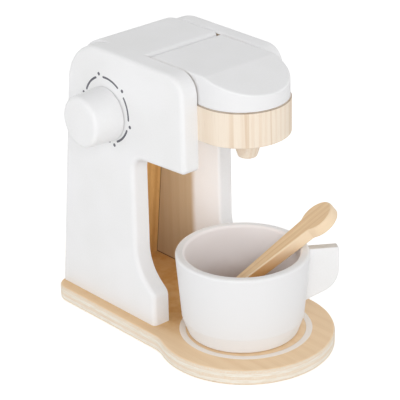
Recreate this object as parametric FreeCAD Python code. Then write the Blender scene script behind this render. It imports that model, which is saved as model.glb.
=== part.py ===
import FreeCAD, Part
import math
import os
from FreeCAD import Matrix, Vector

# Toy coffee maker with a hinged lid, a turning knob, a cup and a spoon.
# Millimetres. X runs to the machine's right, Y to its rear and Z up.
# Places along Y are measured from the middle of the round cup stand, and
# every piece is moved at the end so that the origin lies on the underside,
# half-way along the base board.

# Base board: a rounded rectangle that runs into the round cup stand
base_thickness = 10.4
base_side_margin = 7.8
base_rear_margin = 0.8
base_edge_radius = 1.6
base_rear_corner_radius = 12.0
base_neck_radius = 25.0
stand_flare = 6.5

# Side panels
inner_width = 60.4
panel_thickness = 12.0
panel_top_z = 186.7
panel_roundover = 3.0
panel_inner_roundover = 2.2
foot_front_y = 39.8
foot_height = 21.5
foot_corner_radius = 6.0
foot_slope_rise = 13.3
foot_slope_blend = 29.0
column_front_y = 56.4
head_front_y = 7.8
head_underside_drop = 64.4
head_underside_rise = 2.6
head_underside_blend = 10.0
head_chin_radius = 3.6
head_brow_radius = 13.0
rear_bottom_y = 134.2
rear_top_y = 115.4
rear_top_radius = 32.0

# Back panel and the block over it
back_thickness = 12.0
block_height = 26.0
block_front_y = 55.4
block_front_edge_radius = 2.8
block_rear_top_radius = 25.0
block_side_edge_radius = 0.8
block_side_gap = 0.9

# Lid and its hinge rod
lid_thickness = 18.6
lid_side_gap = 0.9
lid_rear_gap = 0.5
lid_rest_gap = 0.4
lid_round_center_y = 1.4
lid_crease_y = 3.2
lid_front_lip_height = 9.2
lid_crease_blend = 10.0
lid_edge_radius = 1.6
lid_rear_underside_radius = 5.0
hinge_axis_depth = 6.0
hinge_rod_radius = 2.5
hinge_bore_depth = 8.0
hinge_rod_end_gap = 0.5

# Brew head with its pod cavity, and the nozzle under it
brew_head_height = 22.5
brew_head_rear_y = 40.0
brew_head_edge_radius = 0.8
pod_cavity_radius = 21.0
pod_cavity_depth = 14.0
nozzle_center_y = -3.2
nozzle_length = 15.6
nozzle_top_radius = 9.6
nozzle_waist_radius = 7.4
nozzle_waist_height = 5.0
nozzle_tip_radius = 5.8
nozzle_tip_edge_radius = 1.2
nozzle_tenon_radius = 4.0
nozzle_tenon_length = 5.0

# Knob on the left panel, its screw and its washer
knob_center_y = 79.4
knob_center_drop = 41.3
knob_base_radius = 17.5
knob_face_radius = 16.4
knob_height = 22.0
knob_face_edge_radius = 3.0
knob_rim_edge_radius = 0.6
knob_gap = 0.4
knob_screw_radius = 2.0
knob_screw_depth = 13.0
knob_screw_tip_gap = 1.0
knob_screw_head_radius = 4.0
knob_screw_head_height = 2.6
knob_washer_radius = 7.0
knob_washer_thickness = 1.2

# Cup and its handle
cup_center_x = -1.6
cup_center_y = 0.7
cup_seat_gap = 0.2
cup_height = 53.7
cup_rim_radius = 42.2
cup_heel_radius = 37.9
cup_bevel_height = 11.0
cup_bevel_radius = 5.0
cup_foot_radius = 35.0
cup_foot_edge_radius = 2.0
cup_wall = 7.0
cup_floor = 7.0
cup_floor_blend = 7.0
cup_lip_radius = 2.2
handle_direction = -34.0
handle_reach = 60.9
handle_thickness = 6.6
handle_top_drop = 1.0
handle_outer_height = 26.2
handle_underside_slope = 24.7
handle_corner_radius = 15.6
handle_top_corner_radius = 1.6
handle_edge_radius = 1.1
handle_pin_count = 2
handle_pin_radius = 2.0
handle_pin_length = 10.0
handle_pin_wall_depth = 3.0
handle_pin_drop = 9.0
handle_pin_spacing = 14.0

# Spoon, leaning in the cup
spoon_length = 109.9
spoon_thickness = 7.6
spoon_grip_radius = 12.2
spoon_shaft_width = 17.5
spoon_neck_width = 8.0
spoon_bowl_width = 20.0
spoon_bowl_length = 27.0
spoon_bowl_hollow_radius = 16.0
spoon_bowl_hollow_depth = 3.0
spoon_edge_radius = 1.2
spoon_notch_radius = 1.6
spoon_rim_angle = -29.4
spoon_toe_angle = 152.5
spoon_toe_inset = 6.2

# Wooden dowels and the screws under the base
dowel_radius = 3.0
dowel_panel_depth = 8.0
dowel_inner_depth = 12.0
dowel_chamfer = 0.6
brew_head_dowel_y = (20.0, 32.0)
block_dowel_y = (68.0, 98.0)
back_dowel_z = (32.0, 84.0, 136.0)
base_screw_radius = 1.75
base_screw_length = 26.0
base_screw_head_radius = 3.6
base_screw_head_depth = 2.4
base_screw_recess = 0.8
base_screw_tip_length = 4.0
panel_screw_y = (52.0, 116.0)
back_screw_x = (-18.0, 18.0)

# Cross slots in the screw heads
screw_slot_length = 4.0
screw_slot_width = 1.0
screw_slot_depth = 1.2

# Clearances
spoon_gap = 0.3
running_clearance = 0.08
glue_clearance = 0.05
screw_clearance = 0.15

# Working values
cut_overrun = 1.0
same_place = 0.01
edge_samples = 7
full_turn = 360.0

# Places worked out from the sizes above
inner_x = inner_width / 2
outer_x = inner_x + panel_thickness
base_half_width = outer_x + base_side_margin
base_rear_y = rear_bottom_y + base_rear_margin
stand_radius = base_half_width + stand_flare
stand_offset_y = (stand_radius - base_rear_y) / 2
foot_top_z = base_thickness + foot_height
slope_top_z = foot_top_z + foot_slope_rise
head_underside_z = panel_top_z - head_underside_drop
rear_lean = (rear_bottom_y - rear_top_y) / (panel_top_z - base_thickness)
rear_lean_angle = math.atan(rear_lean)
back_depth_y = back_thickness / math.cos(rear_lean_angle)
block_bottom_z = panel_top_z - block_height
lid_bottom_z = panel_top_z - lid_thickness
lid_rear_y = block_front_y - lid_rear_gap
lid_half_width = inner_x - lid_side_gap
hinge_y = lid_rear_y - hinge_axis_depth
hinge_z = panel_top_z - hinge_axis_depth
brew_head_top_z = lid_bottom_z - lid_rest_gap
brew_head_bottom_z = brew_head_top_z - brew_head_height
brew_dowel_z = (brew_head_bottom_z + brew_head_top_z) / 2
block_dowel_z = block_bottom_z + block_height / 2
knob_center_z = panel_top_z - knob_center_drop
knob_rear_x = -outer_x - knob_gap
washer_x = -inner_x + running_clearance
screw_head_x = washer_x + knob_washer_thickness
cup_bottom_z = base_thickness + cup_seat_gap
cup_rim_z = cup_bottom_z + cup_height
cup_floor_z = cup_bottom_z + cup_floor
cup_taper = (cup_rim_radius - cup_heel_radius) / cup_height
handle_top_z = cup_rim_z - handle_top_drop


def rear_y(z):
    """The rear edge of the side panels at the height z."""
    return rear_bottom_y - rear_lean * (z - base_thickness)


def direction(start, end):
    """The unit vector from one point of a plane to another."""
    length = math.hypot(end[0] - start[0], end[1] - start[1])
    return (end[0] - start[0]) / length, (end[1] - start[1]) / length


def outline_face(corners, to_space):
    """A flat face round the corners (a, b, radius), each rounded by an arc of its radius."""
    starts = []
    middles = []
    ends = []
    count = len(corners)
    for index in range(count):
        a, b, radius = corners[index]
        before = direction((a, b), corners[index - 1])
        after = direction((a, b), corners[(index + 1) % count])
        dot = before[0] * after[0] + before[1] * after[1]
        half = math.acos(max(-1.0, min(1.0, dot))) / 2
        reach = radius / math.tan(half) if radius > 0 else 0.0
        starts.append((a + before[0] * reach, b + before[1] * reach))
        ends.append((a + after[0] * reach, b + after[1] * reach))
        bisector = direction((0.0, 0.0), (before[0] + after[0], before[1] + after[1]))
        inset = radius / math.sin(half) - radius if radius > 0 else 0.0
        middles.append((a + bisector[0] * inset, b + bisector[1] * inset))
    edges = []
    for index in range(count):
        if corners[index][2] > 0:
            arc = Part.Arc(to_space(*starts[index]), to_space(*middles[index]), to_space(*ends[index]))
            edges.append(arc.toShape())
        start = to_space(*ends[index])
        end = to_space(*starts[(index + 1) % count])
        if start.distanceToPoint(end) > same_place:
            edges.append(Part.makeLine(start, end))
    return Part.Face(Part.Wire(edges))


def side_plate(corners, x_start, x_end):
    """A plate whose outline lies in the YZ plane and which fills the span between two X values."""
    face = outline_face(corners, lambda y, z: Vector(x_start, y, z))
    return face.extrude(Vector(x_end - x_start, 0, 0))


def turned(corners, center, axis_direction):
    """A turned solid: corners are (distance along the axis, radius, rounding radius)."""
    face = outline_face(corners, lambda along, radius: Vector(radius, 0, along))
    solid = face.revolve(Vector(0, 0, 0), Vector(0, 0, 1), full_turn)
    turn = FreeCAD.Rotation(Vector(0, 0, 1), axis_direction)
    solid.Placement = FreeCAD.Placement(center, turn)
    return solid


def rod(radius, start, end):
    """A plain round bar between two points."""
    return Part.makeCylinder(radius, (end - start).Length, start, end - start)


def dowel(start, end):
    """A wooden dowel with a small chamfer at both ends."""
    length = (end - start).Length
    tip_radius = dowel_radius - dowel_chamfer
    corners = (
        (0.0, 0.0, 0.0),
        (0.0, tip_radius, 0.0),
        (dowel_chamfer, dowel_radius, 0.0),
        (length - dowel_chamfer, dowel_radius, 0.0),
        (length, tip_radius, 0.0),
        (length, 0.0, 0.0),
    )
    return turned(corners, start, end - start)


def drilled(shape, holes):
    """The shape with every hole cut out of it."""
    for hole in holes:
        shape = shape.cut(hole)
    return shape


def edges_where(shape, test):
    """The edges whose points all pass the test."""
    found = []
    for edge in shape.Edges:
        points = edge.discretize(edge_samples)
        if all(test(point) for point in points):
            found.append(edge)
    return found


def near(value, target):
    """True where two lengths are the same."""
    return abs(value - target) < same_place


def cross_dowel_spans():
    """Start and end of each dowel that joins the side panels to what lies between them."""
    places = []
    for y in brew_head_dowel_y:
        places.append(("brew_head", y, brew_dowel_z))
    for y in block_dowel_y:
        places.append(("block", y, block_dowel_z))
    for z in back_dowel_z:
        places.append(("back", rear_y(z) - back_depth_y / 2, z))
    spans = []
    for group, y, z in places:
        for side in (-1, 1):
            start = Vector(side * (inner_x + dowel_panel_depth), y, z)
            end = Vector(side * (inner_x - dowel_inner_depth), y, z)
            spans.append((group, start, end))
    return spans


def dowel_holes():
    """A hole for each cross dowel, a little wider and longer than the dowel."""
    holes = []
    for _, start, end in cross_dowel_spans():
        step = (end - start).normalize() * glue_clearance
        holes.append(rod(dowel_radius + glue_clearance, start - step, end + step))
    return holes


def dowel_group(group):
    """The dowels of one joint as separate solids."""
    solids = [dowel(start, end) for name, start, end in cross_dowel_spans() if name == group]
    return Part.makeCompound(solids)


def base_screw_places():
    """Where the screws pass up through the base board."""
    places = []
    for side in (-1, 1):
        for y in panel_screw_y:
            places.append((side * (inner_x + panel_thickness / 2), y))
    for x in back_screw_x:
        places.append((x, rear_y(base_thickness + base_screw_length / 2) - back_depth_y / 2))
    return places


def base_screw_solid(x, y, clearance):
    """One countersunk screw, or with a clearance the hole that it needs."""
    head_z = base_screw_recess - clearance
    head_radius = base_screw_head_radius + clearance
    shank_radius = base_screw_radius + clearance
    tip_z = base_screw_recess + base_screw_length + clearance
    corners = (
        (head_z, 0.0, 0.0),
        (head_z, head_radius, 0.0),
        (base_screw_recess + base_screw_head_depth, shank_radius, 0.0),
        (tip_z - base_screw_tip_length, shank_radius, 0.0),
        (tip_z, 0.0, 0.0),
    )
    return turned(corners, Vector(x, y, 0), Vector(0, 0, 1))


def base_screw_slots(x, y):
    """The cross cut into the head of one screw."""
    slots = []
    for along_x, along_y in ((screw_slot_length, screw_slot_width), (screw_slot_width, screw_slot_length)):
        corner = Vector(x - along_x / 2, y - along_y / 2, base_screw_recess)
        slots.append(Part.makeBox(along_x, along_y, screw_slot_depth, corner))
    return slots


def base_screws():
    """The screws that hold the panels to the base board."""
    solids = []
    for x, y in base_screw_places():
        screw = base_screw_solid(x, y, 0.0)
        solids.append(drilled(screw, base_screw_slots(x, y)))
    return Part.makeCompound(solids)


def base_screw_holes():
    """A clearance hole for each base screw, open at the underside."""
    holes = []
    for x, y in base_screw_places():
        holes.append(base_screw_solid(x, y, glue_clearance))
        mouth_radius = base_screw_head_radius + screw_clearance
        holes.append(rod(mouth_radius, Vector(x, y, -cut_overrun), Vector(x, y, base_screw_recess)))
    return holes


def base_board():
    """The board under everything, with the round cup stand at its front."""
    corners = (
        (-base_half_width, 0.0, 0.0),
        (base_half_width, 0.0, 0.0),
        (base_half_width, base_rear_y, base_rear_corner_radius),
        (-base_half_width, base_rear_y, base_rear_corner_radius),
    )
    tail = outline_face(corners, lambda x, y: Vector(x, y, 0)).extrude(Vector(0, 0, base_thickness))
    stand = Part.makeCylinder(stand_radius, base_thickness)
    board = tail.fuse(stand).removeSplitter()
    neck_y = math.sqrt(stand_radius ** 2 - base_half_width ** 2)
    necks = edges_where(board, lambda point: near(abs(point.x), base_half_width) and near(point.y, neck_y))
    board = board.makeFillet(base_neck_radius, necks)
    rims = edges_where(board, lambda point: near(point.z, 0.0) or near(point.z, base_thickness))
    board = board.makeFillet(base_edge_radius, rims)
    return drilled(board, base_screw_holes())


def panel_corners(top_radius):
    """The outline of a side panel: foot, column, overhanging head and leaning rear."""
    return (
        (foot_front_y, base_thickness, 0.0),
        (foot_front_y, foot_top_z, foot_corner_radius),
        (column_front_y, slope_top_z, foot_slope_blend),
        (column_front_y, head_underside_z, head_underside_blend),
        (head_front_y, head_underside_z + head_underside_rise, head_chin_radius),
        (head_front_y, panel_top_z, head_brow_radius),
        (rear_top_y, panel_top_z, top_radius),
        (rear_bottom_y, base_thickness, 0.0),
    )


def rounded_plate_edges(plate, x, radius):
    """The plate with the edges of its face at x rounded, apart from the one on the base board."""
    def on_outline(point):
        return near(point.x, x) and not near(point.z, base_thickness)

    chain = []
    for edge in edges_where(plate, lambda point: near(point.x, x)):
        if on_outline(edge.valueAt((edge.FirstParameter + edge.LastParameter) / 2)):
            chain.append(edge)
    return plate.makeFillet(radius, chain)


def hinge_bore(side):
    """The blind bore in a side panel in which the hinge rod turns."""
    start = Vector(side * (inner_x - cut_overrun), hinge_y, hinge_z)
    end = Vector(side * (inner_x + hinge_bore_depth), hinge_y, hinge_z)
    return rod(hinge_rod_radius + running_clearance, start, end)


def left_side_panel():
    """The side panel that carries the knob."""
    plate = side_plate(panel_corners(rear_top_radius), -outer_x, -inner_x)
    plate = rounded_plate_edges(plate, -outer_x, panel_roundover)
    start = Vector(-outer_x - cut_overrun, knob_center_y, knob_center_z)
    end = Vector(-inner_x + cut_overrun, knob_center_y, knob_center_z)
    knob_bore = rod(knob_screw_radius + running_clearance, start, end)
    return drilled(plate, [knob_bore, hinge_bore(-1)] + dowel_holes() + base_screw_holes())


def right_side_panel():
    """The other side panel, rounded on its inner edges too."""
    plate = side_plate(panel_corners(rear_top_radius), inner_x, outer_x)
    plate = rounded_plate_edges(plate, outer_x, panel_roundover)
    plate = rounded_plate_edges(plate, inner_x, panel_inner_roundover)
    return drilled(plate, [hinge_bore(1)] + dowel_holes() + base_screw_holes())


def back_panel():
    """The leaning board between the side panels, level with their rear edges."""
    front_bottom_y = rear_bottom_y - back_depth_y
    front_top_y = rear_y(block_bottom_z) - back_depth_y
    corners = (
        (front_bottom_y, base_thickness, 0.0),
        (rear_bottom_y, base_thickness, 0.0),
        (rear_y(block_bottom_z), block_bottom_z, 0.0),
        (front_top_y, block_bottom_z, 0.0),
    )
    plate = side_plate(corners, -inner_x, inner_x)
    return drilled(plate, dowel_holes() + base_screw_holes())


def rear_top_block():
    """The block between the side panels behind the lid, a little squarer at the rear than they are."""
    side_x = inner_x - block_side_gap
    slab = side_plate(panel_corners(block_rear_top_radius), -inner_x, side_x)
    depth = base_rear_y - block_front_y
    room = Part.makeBox(inner_width, depth, block_height, Vector(-inner_x, block_front_y, block_bottom_z))
    block = slab.common(room).Solids[0]
    front = edges_where(block, lambda point: near(point.y, block_front_y) and near(point.z, panel_top_z))
    block = block.makeFillet(block_front_edge_radius, front)
    chain = []
    for edge in edges_where(block, lambda point: near(point.x, side_x)):
        on_bottom = near(edge.BoundBox.ZMax, block_bottom_z)
        on_front = near(edge.BoundBox.YMax, block_front_y)
        if not on_bottom and not on_front:
            chain.append(edge)
    block = block.makeFillet(block_side_edge_radius, chain)
    return drilled(block, dowel_holes())


def round_fronted(half_width, center_y, end_y, bottom_z, top_z):
    """A block whose front is half a cylinder and whose rear is square."""
    nose = Part.makeCylinder(half_width, top_z - bottom_z, Vector(0, center_y, bottom_z))
    corner = Vector(-half_width, center_y, bottom_z)
    tail = Part.makeBox(2 * half_width, end_y - center_y, top_z - bottom_z, corner)
    return nose.fuse(tail).removeSplitter()


def brew_head():
    """The round-fronted wooden block under the lid, with the cavity that takes a pod."""
    body = round_fronted(inner_x, lid_round_center_y, brew_head_rear_y, brew_head_bottom_z, brew_head_top_z)
    faces_z = (brew_head_bottom_z, brew_head_top_z)
    rims = edges_where(body, lambda point: any(near(point.z, z) for z in faces_z))
    body = body.makeFillet(brew_head_edge_radius, rims)
    cavity_floor = Vector(0, lid_round_center_y, brew_head_top_z - pod_cavity_depth)
    cavity = Part.makeCylinder(pod_cavity_radius, pod_cavity_depth + cut_overrun, cavity_floor)
    socket_start = Vector(0, nozzle_center_y, brew_head_bottom_z - cut_overrun)
    socket_end = Vector(0, nozzle_center_y, brew_head_bottom_z + nozzle_tenon_length + glue_clearance)
    socket = rod(nozzle_tenon_radius + glue_clearance, socket_start, socket_end)
    return drilled(body, [cavity, socket] + dowel_holes())


def nozzle():
    """The turned spout, glued into the brew head by its tenon."""
    corners = (
        (-nozzle_length, 0.0, 0.0),
        (-nozzle_length, nozzle_tip_radius, nozzle_tip_edge_radius),
        (-nozzle_length + nozzle_waist_height, nozzle_waist_radius, 0.0),
        (0.0, nozzle_top_radius, 0.0),
        (0.0, nozzle_tenon_radius, 0.0),
        (nozzle_tenon_length, nozzle_tenon_radius, 0.0),
        (nozzle_tenon_length, 0.0, 0.0),
    )
    return turned(corners, Vector(0, nozzle_center_y, brew_head_bottom_z), Vector(0, 0, 1))


def lid_side_view(top_radius, bottom_radius):
    """The lid's outline from the side, over its full width."""
    front_y = lid_round_center_y - lid_half_width
    corners = (
        (front_y, lid_bottom_z, 0.0),
        (front_y, lid_bottom_z + lid_front_lip_height, 0.0),
        (lid_crease_y, panel_top_z, lid_crease_blend),
        (lid_rear_y, panel_top_z, top_radius),
        (lid_rear_y, lid_bottom_z, bottom_radius),
    )
    return side_plate(corners, -lid_half_width, lid_half_width)


def lid():
    """The lid: flat at the rear, sloping to a round front, with a rounded rear end at its hinge."""
    plan = round_fronted(lid_half_width, lid_round_center_y, lid_rear_y, lid_bottom_z, panel_top_z)
    body = lid_side_view(0.0, 0.0).common(plan).Solids[0]
    lip_z = lid_bottom_z + lid_front_lip_height

    def on_top_rim(point):
        from_center = math.hypot(point.x, point.y - lid_round_center_y)
        on_nose = near(from_center, lid_half_width) and point.y < lid_round_center_y
        on_side = near(abs(point.x), lid_half_width)
        return point.z > lip_z - same_place and (on_nose or on_side)

    body = body.makeFillet(lid_edge_radius, edges_where(body, on_top_rim))
    body = body.common(lid_side_view(hinge_axis_depth, lid_rear_underside_radius))
    bore_start = Vector(-inner_x, hinge_y, hinge_z)
    bore_end = Vector(inner_x, hinge_y, hinge_z)
    return body.cut(rod(hinge_rod_radius + glue_clearance, bore_start, bore_end))


def lid_hinge_rod():
    """The rod across the lid, which turns in the side panels."""
    reach = inner_x + hinge_bore_depth - hinge_rod_end_gap
    return rod(hinge_rod_radius, Vector(-reach, hinge_y, hinge_z), Vector(reach, hinge_y, hinge_z))


def knob():
    """The turned knob, with a blind bore for its screw."""
    corners = (
        (0.0, 0.0, 0.0),
        (0.0, knob_base_radius, knob_rim_edge_radius),
        (knob_height, knob_face_radius, knob_face_edge_radius),
        (knob_height, 0.0, 0.0),
    )
    center = Vector(knob_rear_x, knob_center_y, knob_center_z)
    body = turned(corners, center, Vector(-1, 0, 0))
    bore_start = center + Vector(cut_overrun, 0, 0)
    bore_end = center - Vector(knob_screw_depth + knob_screw_tip_gap, 0, 0)
    return body.cut(rod(knob_screw_radius + glue_clearance, bore_start, bore_end))


def knob_screw():
    """The screw that holds the knob from inside the machine."""
    length = screw_head_x - knob_rear_x + knob_screw_depth
    corners = (
        (-knob_screw_head_height, 0.0, 0.0),
        (-knob_screw_head_height, knob_screw_head_radius, knob_screw_head_height / 2),
        (0.0, knob_screw_head_radius, 0.0),
        (0.0, knob_screw_radius, 0.0),
        (length, knob_screw_radius, 0.0),
        (length, 0.0, 0.0),
    )
    screw = turned(corners, Vector(screw_head_x, knob_center_y, knob_center_z), Vector(-1, 0, 0))
    slot_x = screw_head_x + knob_screw_head_height - screw_slot_depth
    slots = []
    for span_y, span_z in ((screw_slot_length, screw_slot_width), (screw_slot_width, screw_slot_length)):
        corner = Vector(slot_x, knob_center_y - span_y / 2, knob_center_z - span_z / 2)
        slots.append(Part.makeBox(screw_slot_depth, span_y, span_z, corner))
    return drilled(screw, slots)


def knob_washer():
    """The flat washer between the screw head and the panel."""
    start = Vector(washer_x, knob_center_y, knob_center_z)
    end = Vector(screw_head_x, knob_center_y, knob_center_z)
    return rod(knob_washer_radius, start, end).cut(rod(knob_screw_radius + glue_clearance, start, end))


def cup_wall_radius(height):
    """The radius of the cup's outer wall at a height over its foot."""
    return cup_heel_radius + cup_taper * height


def cup_outer_corners():
    """The outside of the cup, from the middle of its underside to the rim."""
    return (
        (0.0, 0.0, 0.0),
        (0.0, cup_foot_radius, cup_foot_edge_radius),
        (cup_bevel_height, cup_wall_radius(cup_bevel_height), cup_bevel_radius),
        (cup_height, cup_rim_radius, cup_lip_radius),
    )


def cup_turned(inner_corners):
    """A solid turned about the cup's axis: its outside, closed by the corners given."""
    place = Vector(cup_center_x, cup_center_y, cup_bottom_z)
    return turned(cup_outer_corners() + inner_corners, place, Vector(0, 0, 1))


def cup():
    """The turned cup with a rounded lip and a rounded inner corner."""
    inner_corners = (
        (cup_height, cup_rim_radius - cup_wall, cup_lip_radius),
        (cup_floor, cup_heel_radius - cup_wall, cup_floor_blend),
        (cup_floor, 0.0, 0.0),
    )
    return drilled(cup_turned(inner_corners), handle_pin_holes())


def on_handle(along, across, z):
    """A point given by its distance from the cup's axis along and across the handle."""
    angle = math.radians(handle_direction)
    x = cup_center_x + along * math.cos(angle) - across * math.sin(angle)
    y = cup_center_y + along * math.sin(angle) + across * math.cos(angle)
    return Vector(x, y, z)


def cup_handle():
    """The solid grip on the side of the cup, cut to the cup's own wall."""
    underside_z = handle_top_z - handle_outer_height
    root = cup_heel_radius - cup_wall
    root_z = underside_z - (handle_reach - root) * math.tan(math.radians(handle_underside_slope))
    corners = (
        (root, handle_top_z, 0.0),
        (handle_reach, handle_top_z, handle_top_corner_radius),
        (handle_reach, underside_z, handle_corner_radius),
        (root, root_z, 0.0),
    )
    half = handle_thickness / 2
    face = outline_face(corners, lambda along, z: on_handle(along, -half, z))
    across = on_handle(0, 1, 0) - on_handle(0, 0, 0)
    grip = face.extrude(across * handle_thickness)
    rims = [edge for edge in grip.Edges if near(edge.tangentAt(edge.FirstParameter).dot(across), 0.0)]
    grip = grip.makeFillet(handle_edge_radius, rims)
    full_cup = cup_turned(((cup_height, 0.0, 0.0),))
    return drilled(grip.cut(full_cup), handle_pin_holes())


def handle_pin_ends():
    """Inner and outer end of each pin between the cup and its handle."""
    ends = []
    for index in range(handle_pin_count):
        z = handle_top_z - handle_pin_drop - index * handle_pin_spacing
        wall_radius = cup_wall_radius(z - cup_bottom_z)
        start = on_handle(wall_radius - handle_pin_wall_depth, 0, z)
        end = on_handle(wall_radius - handle_pin_wall_depth + handle_pin_length, 0, z)
        ends.append((start, end))
    return ends


def handle_pin_holes():
    """The holes that the handle's pins are glued into."""
    holes = []
    for start, end in handle_pin_ends():
        step = (end - start).normalize() * glue_clearance
        holes.append(rod(handle_pin_radius + glue_clearance, start - step, end + step))
    return holes


def handle_pins():
    """The two pins that hold the handle to the cup."""
    return Part.makeCompound([rod(handle_pin_radius, start, end) for start, end in handle_pin_ends()])


def spoon_blank():
    """The spoon lying flat: bowl end at the origin, grip end along X, top face up."""
    half_thickness = spoon_thickness / 2
    grip_center = spoon_length - spoon_grip_radius
    neck_x = spoon_bowl_length
    half_neck = spoon_neck_width / 2
    half_shaft = spoon_shaft_width / 2
    shaft_corners = (
        (spoon_bowl_length / 2, -half_neck, 0.0),
        (neck_x, -half_neck, 0.0),
        (grip_center, -half_shaft, 0.0),
        (grip_center, half_shaft, 0.0),
        (neck_x, half_neck, 0.0),
        (spoon_bowl_length / 2, half_neck, 0.0),
    )
    shaft = outline_face(shaft_corners, lambda x, y: Vector(x, y, -half_thickness))
    shaft = shaft.extrude(Vector(0, 0, spoon_thickness))
    grip = Part.makeCylinder(spoon_grip_radius, spoon_thickness, Vector(grip_center, 0, -half_thickness))
    bowl_center = Vector(spoon_bowl_length / 2, 0, -half_thickness)
    bowl_outline = Part.Ellipse(bowl_center, spoon_bowl_length / 2, spoon_bowl_width / 2)
    bowl = Part.Face(Part.Wire([bowl_outline.toShape()])).extrude(Vector(0, 0, spoon_thickness))
    blank = shaft.fuse([grip, bowl]).removeSplitter()
    uprights = [edge for edge in blank.Edges if near(edge.BoundBox.ZLength, spoon_thickness)]
    notches = [edge for edge in uprights if edge.BoundBox.XMax < grip_center]
    blank = blank.makeFillet(spoon_notch_radius, notches)
    rims = edges_where(blank, lambda point: near(abs(point.z), half_thickness))
    blank = blank.makeFillet(spoon_edge_radius, rims)
    hollow_height = half_thickness + spoon_bowl_hollow_radius - spoon_bowl_hollow_depth
    hollow_center = Vector(spoon_bowl_length / 2, 0, hollow_height)
    return blank.cut(Part.makeSphere(spoon_bowl_hollow_radius, hollow_center))


def on_cup(radius, angle, z):
    """A point given by its distance from the cup's axis, its bearing in degrees and its height."""
    turn = math.radians(angle)
    return Vector(cup_center_x + radius * math.cos(turn), cup_center_y + radius * math.sin(turn), z)


def spoon():
    """The spoon in the cup: its flat underside leans on the rim and its toe stands on the floor.

    The underside lies parallel to a line from below the cup's floor to the middle of the lip's
    rounding, above it by the lip's radius, the gap and the rim's own curve under the shaft.
    """
    lip_radius_from_axis = cup_rim_radius - cup_wall + cup_lip_radius
    toe_radius = cup_heel_radius - cup_wall - spoon_toe_inset
    toe = on_cup(toe_radius, spoon_toe_angle, cup_floor_z - cup_lip_radius)
    lip = on_cup(lip_radius_from_axis, spoon_rim_angle, cup_rim_z - cup_lip_radius)
    along = (lip - toe).normalize()
    rim_turn = math.radians(spoon_rim_angle)
    rim_tangent = Vector(-math.sin(rim_turn), math.cos(rim_turn), 0)
    upward = along.cross(rim_tangent).normalize()
    across = upward.cross(along)
    rim_curve = (spoon_shaft_width / 2) ** 2 / (2 * lip_radius_from_axis) * along.z
    tip = toe + upward * (cup_lip_radius + spoon_gap + rim_curve + spoon_thickness / 2)
    frame = Matrix(
        along.x, across.x, upward.x, tip.x,
        along.y, across.y, upward.y, tip.y,
        along.z, across.z, upward.z, tip.z,
        0, 0, 0, 1,
    )
    solid = spoon_blank()
    solid.Placement = FreeCAD.Placement(frame)
    return solid


def write_node(name, shape):
    """One sub-part in the machine's own frame, in a file of its own."""
    moved = shape.copy()
    moved.translate(Vector(0, stand_offset_y, 0))
    moved.exportStep("parts/" + name + ".step")


def main():
    os.makedirs("parts", exist_ok=True)
    nodes = {
        "base_board": base_board(),
        "left_side_panel": left_side_panel(),
        "right_side_panel": right_side_panel(),
        "back_panel": back_panel(),
        "rear_top_block": rear_top_block(),
        "brew_head": brew_head(),
        "nozzle": nozzle(),
        "brew_head_dowels": dowel_group("brew_head"),
        "block_dowels": dowel_group("block"),
        "back_panel_dowels": dowel_group("back"),
        "base_screws": base_screws(),
        "lid": lid(),
        "lid_hinge_rod": lid_hinge_rod(),
        "knob": knob(),
        "knob_screw": knob_screw(),
        "knob_washer": knob_washer(),
        "cup": cup(),
        "cup_handle": cup_handle(),
        "handle_pins": handle_pins(),
        "spoon": spoon(),
    }
    for name, shape in nodes.items():
        write_node(name, shape)


main()
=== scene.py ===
"""Looks of a wooden toy coffee maker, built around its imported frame. Metres, +Z up, front at -Y."""
import math

import bmesh
import bpy
import numpy as np
from bpy.props import FloatProperty, FloatVectorProperty, IntProperty, PointerProperty
from bpy.types import NodeSocket, Operator, Panel, PropertyGroup
from mathutils import Matrix, Vector


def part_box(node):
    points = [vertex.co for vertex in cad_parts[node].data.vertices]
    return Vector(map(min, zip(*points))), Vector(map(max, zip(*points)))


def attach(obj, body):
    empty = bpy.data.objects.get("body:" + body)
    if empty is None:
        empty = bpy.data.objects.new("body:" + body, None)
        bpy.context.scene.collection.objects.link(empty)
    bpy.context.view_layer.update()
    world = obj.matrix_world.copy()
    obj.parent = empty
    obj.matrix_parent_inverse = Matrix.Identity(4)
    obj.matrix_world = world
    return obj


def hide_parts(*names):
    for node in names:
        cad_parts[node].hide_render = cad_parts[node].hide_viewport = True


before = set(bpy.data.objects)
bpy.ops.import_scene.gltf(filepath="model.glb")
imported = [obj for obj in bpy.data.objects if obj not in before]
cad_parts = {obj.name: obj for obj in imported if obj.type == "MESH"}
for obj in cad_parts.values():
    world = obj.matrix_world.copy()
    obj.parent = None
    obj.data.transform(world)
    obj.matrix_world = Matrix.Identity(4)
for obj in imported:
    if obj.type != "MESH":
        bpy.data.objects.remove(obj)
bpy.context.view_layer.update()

bl_info = {
    "name": "Toy coffee maker",
    "version": (1, 0, 0),
    "blender": (4, 5, 0),
    "location": "3D View > Sidebar > Coffee maker",
    "description": "Finishes, turned pieces and prints of a wooden toy coffee maker",
    "category": "Object",
}

MILLIMETRE = 0.001
RIGHT = np.array((1.0, 0.0, 0.0))
FRONT = np.array((0.0, -1.0, 0.0))
UP = np.array((0.0, 0.0, 1.0))
WHITE = (1.0, 1.0, 1.0, 1.0)


def lowest_y(node_name, low_z, high_z):
    """The lowest Y among a CAD node's points between two heights."""
    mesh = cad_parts[node_name].data
    points = np.empty(len(mesh.vertices) * 3)
    mesh.vertices.foreach_get("co", points)
    points = points.reshape(-1, 3)
    level = points[(points[:, 2] > low_z) & (points[:, 2] < high_z)]
    return float(level[:, 1].min())


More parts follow.
